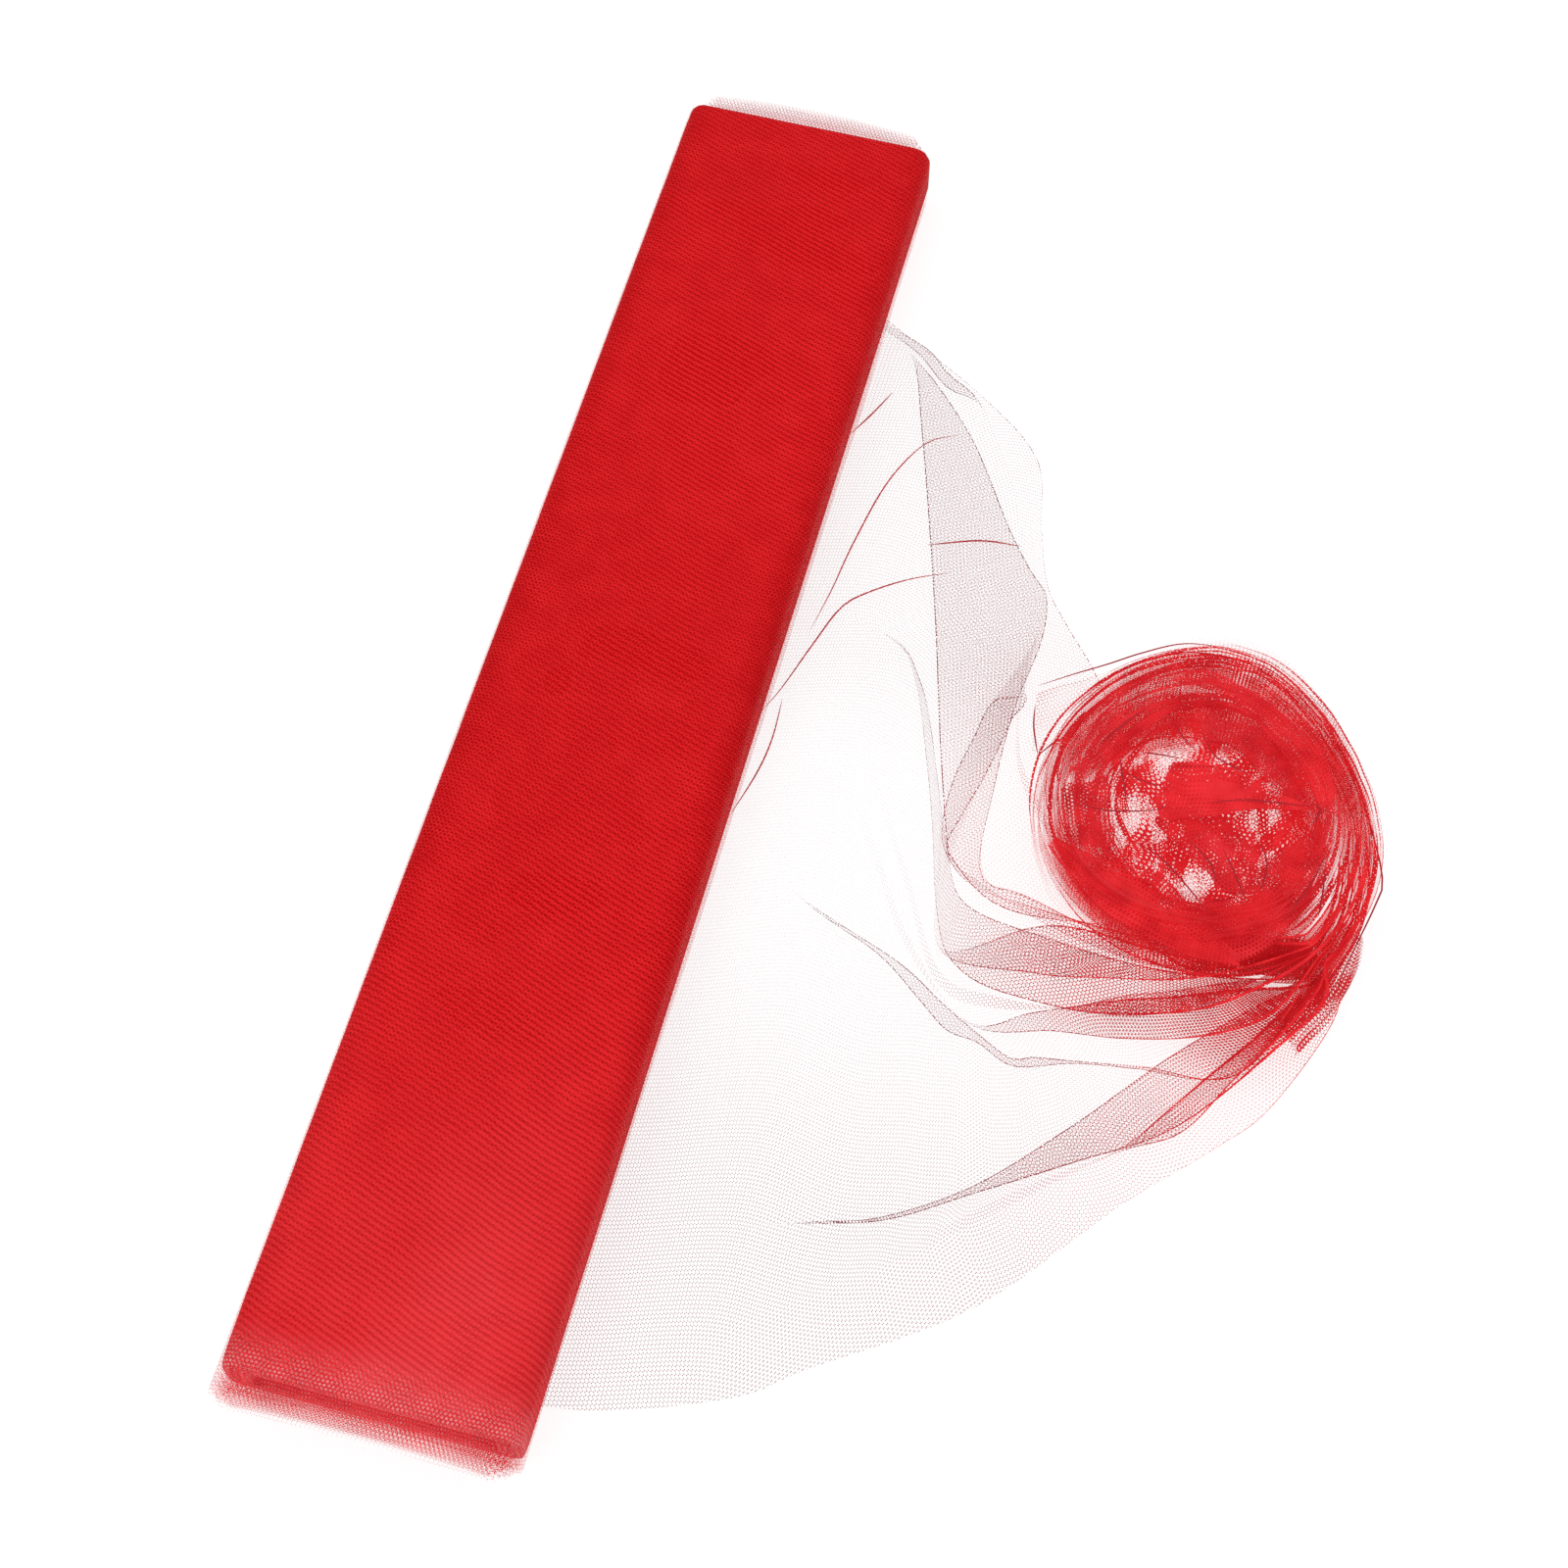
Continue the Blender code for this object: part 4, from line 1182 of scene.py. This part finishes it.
    perimeter = w.add("GeometryNodeCurveLength", fillet.outputs[0]).outputs[0]
    cloth = w.add("ShaderNodeCombineXYZ")
    shift = w.math("MULTIPLY", chance.outputs[1], 0.7)
    w.put(cloth.inputs[0], w.math("ADD", w.math("MULTIPLY", round_share, perimeter), shift))
    w.put(cloth.inputs[1], w.math("ADD", along, shift))
    mapped = stored(w, moved.outputs[0], "UVMap", cloth.outputs[0], "FLOAT2", "CORNER")
    covered = stored(w, stored(w, mapped, "cover", given["Cover"]), "gathered", given["Gathered"])
    merged = w.add("GeometryNodeMergeByDistance")
    w.put(merged.inputs["Geometry"], covered)
    w.put(merged.inputs["Distance"], 1e-6)
    smooth = w.add("GeometryNodeSetShadeSmooth", merged.outputs[0]).outputs[0]
    finish = w.add("GeometryNodeSetMaterial")
    w.put(finish.inputs["Geometry"], smooth)
    w.put(finish.inputs["Material"], given["Finish"])
    w.put(w.add("NodeGroupOutput").inputs[0], finish.outputs[0])
    return tree


def grow(name, tree, **values):
    """A plain mesh piece made by a tree. Its inputs' names have underscores for spaces."""
    piece = bpy.data.objects.new(name, bpy.data.meshes.new(name + "_seed"))
    bpy.context.scene.collection.objects.link(piece)
    modifier = piece.modifiers.new("grow", "NODES")
    modifier.node_group = tree
    sockets = [socket for socket in tree.interface.items_tree if socket.in_out == "INPUT"]
    identifiers = {socket.name.replace(" ", "_"): socket.identifier for socket in sockets}
    for label, value in values.items():
        modifier[identifiers[label]] = value
    graph = bpy.context.evaluated_depsgraph_get()
    grown = piece.evaluated_get(graph)
    made = bpy.data.meshes.new_from_object(grown, preserve_all_data_layers=True, depsgraph=graph)
    piece.modifiers.remove(modifier)
    piece.data = made
    made.name = name
    return piece


TURNS_TREE = turns_tree()
print("turns tree:", len(TURNS_TREE.nodes), "nodes")

# %% Grow the outer turns and the loose ends
BOLT_END = bolt_high.y
bolt_centre = (0.0, 0.0, (bolt_low.z + bolt_high.z) / 2)
pack_wide = bolt_high.x - bolt_low.x - 2 * SHELL_ROOM
pack_high = bolt_high.z - bolt_low.z - 1.4 * MM
outer_turns = grow(
    "outer_turns", TURNS_TREE, Turns=2, Width=pack_wide + 0.6 * MM, Height=pack_high + 0.4 * MM,
    Corner=PACK_CORNER, Spacing=0.25 * MM, From=-BOLT_END - 5 * MM, To=BOLT_END + 3 * MM,
    Scatter=4 * MM, Ragged=3 * MM,
    Plan_Corner=2 * MM, Slack=0.5 * MM, Undercut=9 * MM, Both_Ends=1.0, Around=120, Along=90, Cover=1.2,
    Centre=bolt_centre, Seed=3, Finish=netting)
near_ends = grow(
    "near_turn_ends", TURNS_TREE, Turns=11, Width=pack_wide - 14 * MM, Height=pack_high - 14 * MM,
    Corner=3 * MM, Spacing=0.66 * MM, From=PACK_NEAR + 16 * MM, To=-BOLT_END - 4 * MM, Scatter=3.5 * MM,
    Ragged=1.2 * MM, Plan_Corner=1.2 * MM, Slack=0.5 * MM, Undercut=8 * MM, Bow=-2 * MM, Around=120, Along=7,
    Cover=0.8, Gathered=0.85, Centre=bolt_centre, Seed=11, Finish=netting)
far_ends = grow(
    "far_turn_ends", TURNS_TREE, Turns=10, Width=pack_wide - 14 * MM, Height=pack_high - 14 * MM,
    Corner=3 * MM, Spacing=0.72 * MM, From=PACK_FAR - 6 * MM, To=BOLT_END + 8 * MM, Scatter=3 * MM,
    Ragged=2 * MM, Plan_Corner=6 * MM, Slack=0.5 * MM, Undercut=4 * MM, Bow=4 * MM, Around=120, Along=5,
    Cover=0.9, Gathered=0.5,
    Centre=bolt_centre, Seed=23, Finish=netting)
RIGHT_LEAN = -0.8 * MM
LOOSE_FOOT = 1.3 * MM


def settle(piece, loose=0.0):
    """Moves a piece's right side as the turns really lie: a little askew, and loose at its foot."""
    places = np.empty(len(piece.data.vertices) * 3)
    piece.data.vertices.foreach_get("co", places)
    places = places.reshape(-1, 3)
    x, y, z = places.T
    near = (BOLT_END - y) / (2 * BOLT_END)
    hole = board_high.x + HOLE_GAP
    side = ease((abs(x) - hole) / (bolt_high.x - hole))
    low = ease((bolt_centre[2] - z) / (0.7 * (bolt_centre[2] - bolt_low.z)))
    foot = loose * low * ease((x - hole) / (bolt_high.x - hole)) * (0.75 + 0.5 * drift(31, y * 14, z * 0))
    foot = foot * ease((y + BOLT_END) / BOLT_END)
    places[:, 0] = x + side * np.where(x < 0, 0, RIGHT_LEAN * near) + foot
    piece.data.vertices.foreach_set("co", places.astype(np.float32).ravel())
    piece.data.update()


settle(packed_piece)
settle(outer_turns, LOOSE_FOOT)
settle(near_ends)
settle(far_ends)
for piece in (outer_turns, near_ends, far_ends):
    low, high = Vector(piece.bound_box[0]), Vector(piece.bound_box[6])
    corners = [[round(n, 4) for n in corner] for corner in (low, high)]
    print(piece.name, len(piece.data.polygons), "faces", corners)

# %% [markdown]
# ## Creases and folded bands
# Where the netting is pulled, it also stands up in thin creases that run in long curves
# over the flat cloth. In the rosette the same cloth is folded into narrow bands, which lie
# round the ring, cross its middle and run in from the fan. All of these are paths with a
# width, so one Geometry Nodes tree makes them: it sweeps a low arch along each spline and
# takes its width from the spline's own radius.

# %% Sweep the creases and bands
FLAT_CREASES = (
    [(8, 76), (12, 100), (15, 126), (21, 161), (28, 182), (37, 197), (50, 204)],
    [(-3, 26), (3, 41), (11, 68), (19, 92), (30, 104), (47, 116), (64, 124)],
    [(-2, 191), (5, 205), (12, 221)],
    [(-2, -30), (4, -5), (6, 14), (5, 36)],
    [(50, 137), (74, 146), (94, 148)],
)
HEART_CREASES = (
    [(-58, -15), (-42, -15), (-23, -10), (-17, -6)], [(-37, 6), (-31, 4), (-21, 3)],
    [(-33, 18), (-22, 19), (-15, 19)], [(-22, 37), (-17, 31), (-10, 25)],
    [(-26, -27), (-14, -32), (0, -43), (11, -53)], [(-4, -20), (8, -30), (12, -41)],
    [(11, -20), (19, -32), (26, -44)], [(24, -11), (31, -22), (31, -37)], [(45, 12), (49, 10), (47, 1)],
    [(-52, 16), (-42, 32), (-34, 42)], [(-6, 31), (0, 24), (16, 19)], [(-42, 14), (-38, 2), (-34, -9)],
    [(43, -48), (50, -31), (55, -13)], [(57, -43), (57, -31), (56, -18)],
    [(0, 0), (16, 6), (36, 9), (46, 11)],
)
OUTER_LOOPS = (
    [(-86, 51), (-72, 61), (-57, 71), (-43, 81), (-25, 91), (-4, 94)], [(-85, 41), (-83, 29), (-78, 15)],
    [(-78, 15), (-72, 24), (-67, 28)],
    [(62, 42), (44, 63), (28, 76), (10, 87), (-8, 89), (-30, 84), (-52, 68), (-66, 48)],
    [(71, -76), (74, -55), (82, -20), (83, -7), (75, 15), (60, 46), (45, 61)],
)
RING_BANDS = 105
RIM_BANDS = 24
BAND_STEPS = 34
RING_WIDTHS = (0.35, 0.45, 0.6, 0.8, 1.2, 1.9, 2.8)
RIM_WIDTHS = (0.5, 0.7, 1.0, 1.6)
RING_INNER = 44 * MM
RING_TOP = 36 * MM
RING_DOME = 22 * MM
SWEEP_STEP = 1.5 * MM


def sweep_tree():
    """Low arches swept along the splines of a curve object, as wide as the splines' own radius."""
    inputs = (("Paths", "Object", None), ("High", "Float", 0.3), ("Step", "Float", 0.002),
              ("Cover", "Float", 3.0), ("Gathered", "Float", 1.0), ("Finish", "Material", None))
    tree, w, given = geometry_tree("swept_folds", inputs)
    paths = w.add("GeometryNodeObjectInfo")
    w.put(paths.inputs["Object"], given["Paths"])
    even = w.add("GeometryNodeResampleCurve", mode="LENGTH")
    w.put(even.inputs["Curve"], paths.outputs["Geometry"])
    w.put(even.inputs["Length"], given["Step"])
    level = w.add("GeometryNodeSetCurveNormal", mode="Z_UP")
    w.put(level.inputs["Curve"], even.outputs[0])
    arch = w.add("GeometryNodeCurveArc", mode="RADIUS")
    w.put(arch.inputs["Resolution"], 5)
    w.put(arch.inputs["Radius"], 0.5)
    w.put(arch.inputs["Sweep Angle"], pi)
    shape = w.add("GeometryNodeTransform")
    w.put(shape.inputs["Geometry"], arch.outputs[0])
    size = w.add("ShaderNodeCombineXYZ", 1.0, given["High"], 1.0)
    w.put(shape.inputs["Scale"], size.outputs[0])
    swept_arch = w.add("GeometryNodeCurveToMesh")
    w.put(swept_arch.inputs["Curve"], level.outputs[0])
    w.put(swept_arch.inputs["Profile Curve"], shape.outputs[0])
    if "Scale" in swept_arch.inputs:
        w.put(swept_arch.inputs["Scale"], w.add("GeometryNodeInputRadius").outputs[0])
    real = w.add("GeometryNodeRealizeInstances", swept_arch.outputs[0]).outputs[0]
    place = w.add("GeometryNodeInputPosition").outputs[0]
    mapped = stored(w, real, "UVMap", place, "FLOAT2", "CORNER")
    covered = stored(w, stored(w, mapped, "cover", given["Cover"]), "gathered", given["Gathered"])
    smooth = w.add("GeometryNodeSetShadeSmooth", covered).outputs[0]
    finish = w.add("GeometryNodeSetMaterial")
    w.put(finish.inputs["Geometry"], smooth)
    w.put(finish.inputs["Material"], given["Finish"])
    w.put(w.add("NodeGroupOutput").inputs[0], finish.outputs[0])
    return tree


SWEEP_TREE = sweep_tree()


def sweep(name, courses, **values):
    """A piece of folds swept along courses, each a list of places and the width at each."""
    data = bpy.data.curves.new(name + "_paths", "CURVE")
    data.dimensions = "3D"
    for places, widths in courses:
        spline = data.splines.new("POLY")
        spline.points.add(len(places) - 1)
        for point, spot, width in zip(spline.points, places, widths):
            point.co = (*spot, 1)
            point.radius = width
    paths = bpy.data.objects.new(name + "_paths", data)
    bpy.context.scene.collection.objects.link(paths)
    piece = grow(name, SWEEP_TREE, Paths=paths, Step=SWEEP_STEP, Finish=netting, **values)
    bpy.data.objects.remove(paths)
    return piece


def tapered(steps):
    """Shares of a width along a course that is narrow at both ends."""
    return np.sqrt(np.maximum(np.sin(pi * np.linspace(0, 1, steps)), 0.01))


def drawn_course(points, middle, height, width, steps=24):
    """A course through points in millimetres, narrow at both ends."""
    spots = [(middle[0] + x * MM, middle[1] + y * MM) for x, y in points]
    spots = smooth_path(spots, np.linspace(0, 1, steps))
    return np.column_stack([spots, np.full(steps, height)]), width * tapered(steps)


def ring_course(number, chance):
    """A band that lies round the ring for part of a turn, straying in and out."""
    start, length = chance.uniform(0, 2 * pi), chance.uniform(0.5, 2.6)
    share, width = chance.uniform(0, 1), chance.choice(RING_WIDTHS) * MM
    turn = start + length * np.linspace(0, 1, BAND_STEPS)
    seed = np.full(BAND_STEPS, number * 0.71)
    share = share + 0.30 * drift(32, turn * 0.8, seed) - 0.12 * np.linspace(0, 1, BAND_STEPS)
    outer = around(COIL_EDGE, turn) + (around(OUTER_EDGE, turn) - around(COIL_EDGE, turn)) * ease(
        1 - abs(np.mod(turn + pi / 6, 2 * pi) - radians(100)) / radians(100))
    radius = RING_INNER + (outer - RING_INNER) * share
    dome = 1 - ((radius - RING_INNER) / (outer - RING_INNER) * 1.5 - 0.7) ** 2
    height = RING_TOP - RING_DOME * np.clip(1 - dome, 0, 0.7) + 1.2 * MM * drift(33, turn, seed)
    x = ring_middle.x + radius * np.cos(turn)
    y = ring_middle.y + radius * np.sin(turn)
    return np.column_stack([x, y, height]), width * tapered(BAND_STEPS)


def rim_course(number, chance):
    """A band near the rosette's outer edge, round its far side."""
    start, length = radians(chance.uniform(-25, 110)), radians(chance.uniform(50, 110))
    turn = start + length * np.linspace(0, 1, BAND_STEPS)
    radius = around(OUTER_EDGE, turn) * (1 - 0.16 * chance.uniform(0, 1) ** 1.5)
    radius = radius + 1.6 * MM * drift(34, turn, np.full(BAND_STEPS, number * 0.77))
    height = np.full(BAND_STEPS, chance.uniform(20, 33) * MM)
    x = ring_middle.x + radius * np.cos(turn)
    y = ring_middle.y + radius * np.sin(turn)
    return np.column_stack([x, y, height]), chance.choice(RIM_WIDTHS) * MM * tapered(BAND_STEPS)


def gather_course(number):
    """The edge of a pleat, from the fan into the strand."""
    from_row = int(FAN_ROWS * 0.62)
    into = strand_places(START_ANGLE + np.linspace(0, radians(55), 22), number)
    places = np.vstack([lines[from_row:-1, number], into]) + [0, 0, 0.4 * MM]
    share = np.linspace(0, 1, len(places))
    return places, (0.35 + 0.6 * (number % 3)) * MM * ease(share / 0.5) * ease((1 - share) / 0.15 + 0.1)


chance = np.random.default_rng(5)
middle = (ring_middle.x, ring_middle.y)
flat_courses = [drawn_course(c, (bolt_high.x, 0), 2.4 * MM, 0.75 * MM) for c in FLAT_CREASES]
flat_creases = sweep("flat_creases", flat_courses, High=2.0, Cover=7.0, Gathered=0.6)
# The heart creases keep mostly the dark lone-thread red, so they show as dark lines: dense thread, and
# painted shade as well.
heart_creases = sweep("heart_creases", [drawn_course(c, middle, 39 * MM, 0.8 * MM) for c in HEART_CREASES]
                      + [drawn_course(c, middle, 20 * MM, 0.8 * MM) for c in OUTER_LOOPS],
                      High=0.7, Cover=22.0, Gathered=0.3)
ring_bands = sweep("ring_bands", [ring_course(number, chance) for number in range(RING_BANDS)]
                   + [rim_course(number, chance) for number in range(RIM_BANDS)],
                   High=0.35, Cover=5.8, Gathered=0.85)
gather_folds = sweep("gather_folds", [gather_course(number) for number in range(1, LINES)],
                     High=0.5, Cover=6.5, Gathered=1.0)
folds = [flat_creases, heart_creases, ring_bands, gather_folds]
for piece in folds:
    print(piece.name, len(piece.data.polygons), "faces, size", [round(n, 4) for n in piece.dimensions])

# %% [markdown]
# ## Say what each piece is
# Every piece moves with one of the imported bodies. The drawn netting and the rosette stay
# on the table, and the turns ride on the bolt, which tips up about its lower left edge as
# more netting is drawn off.

# %% Hand the pieces over
table_pieces = [drawn_cloth, heart_piece, *flaps, *folds]
bolt_pieces = [packed_piece, outer_turns, near_ends, far_ends]
for piece in table_pieces:
    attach(piece, "table_netting")
for piece in bolt_pieces:
    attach(piece, "bolt")
for node, (name, *finish) in BOARD_FINISHES.items():
    print(node, "keeps its shape and gets", name)
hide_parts("drawn_netting", "gathered_strand", "rosette_coil")
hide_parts("rosette_heart")
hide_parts("wound_netting")
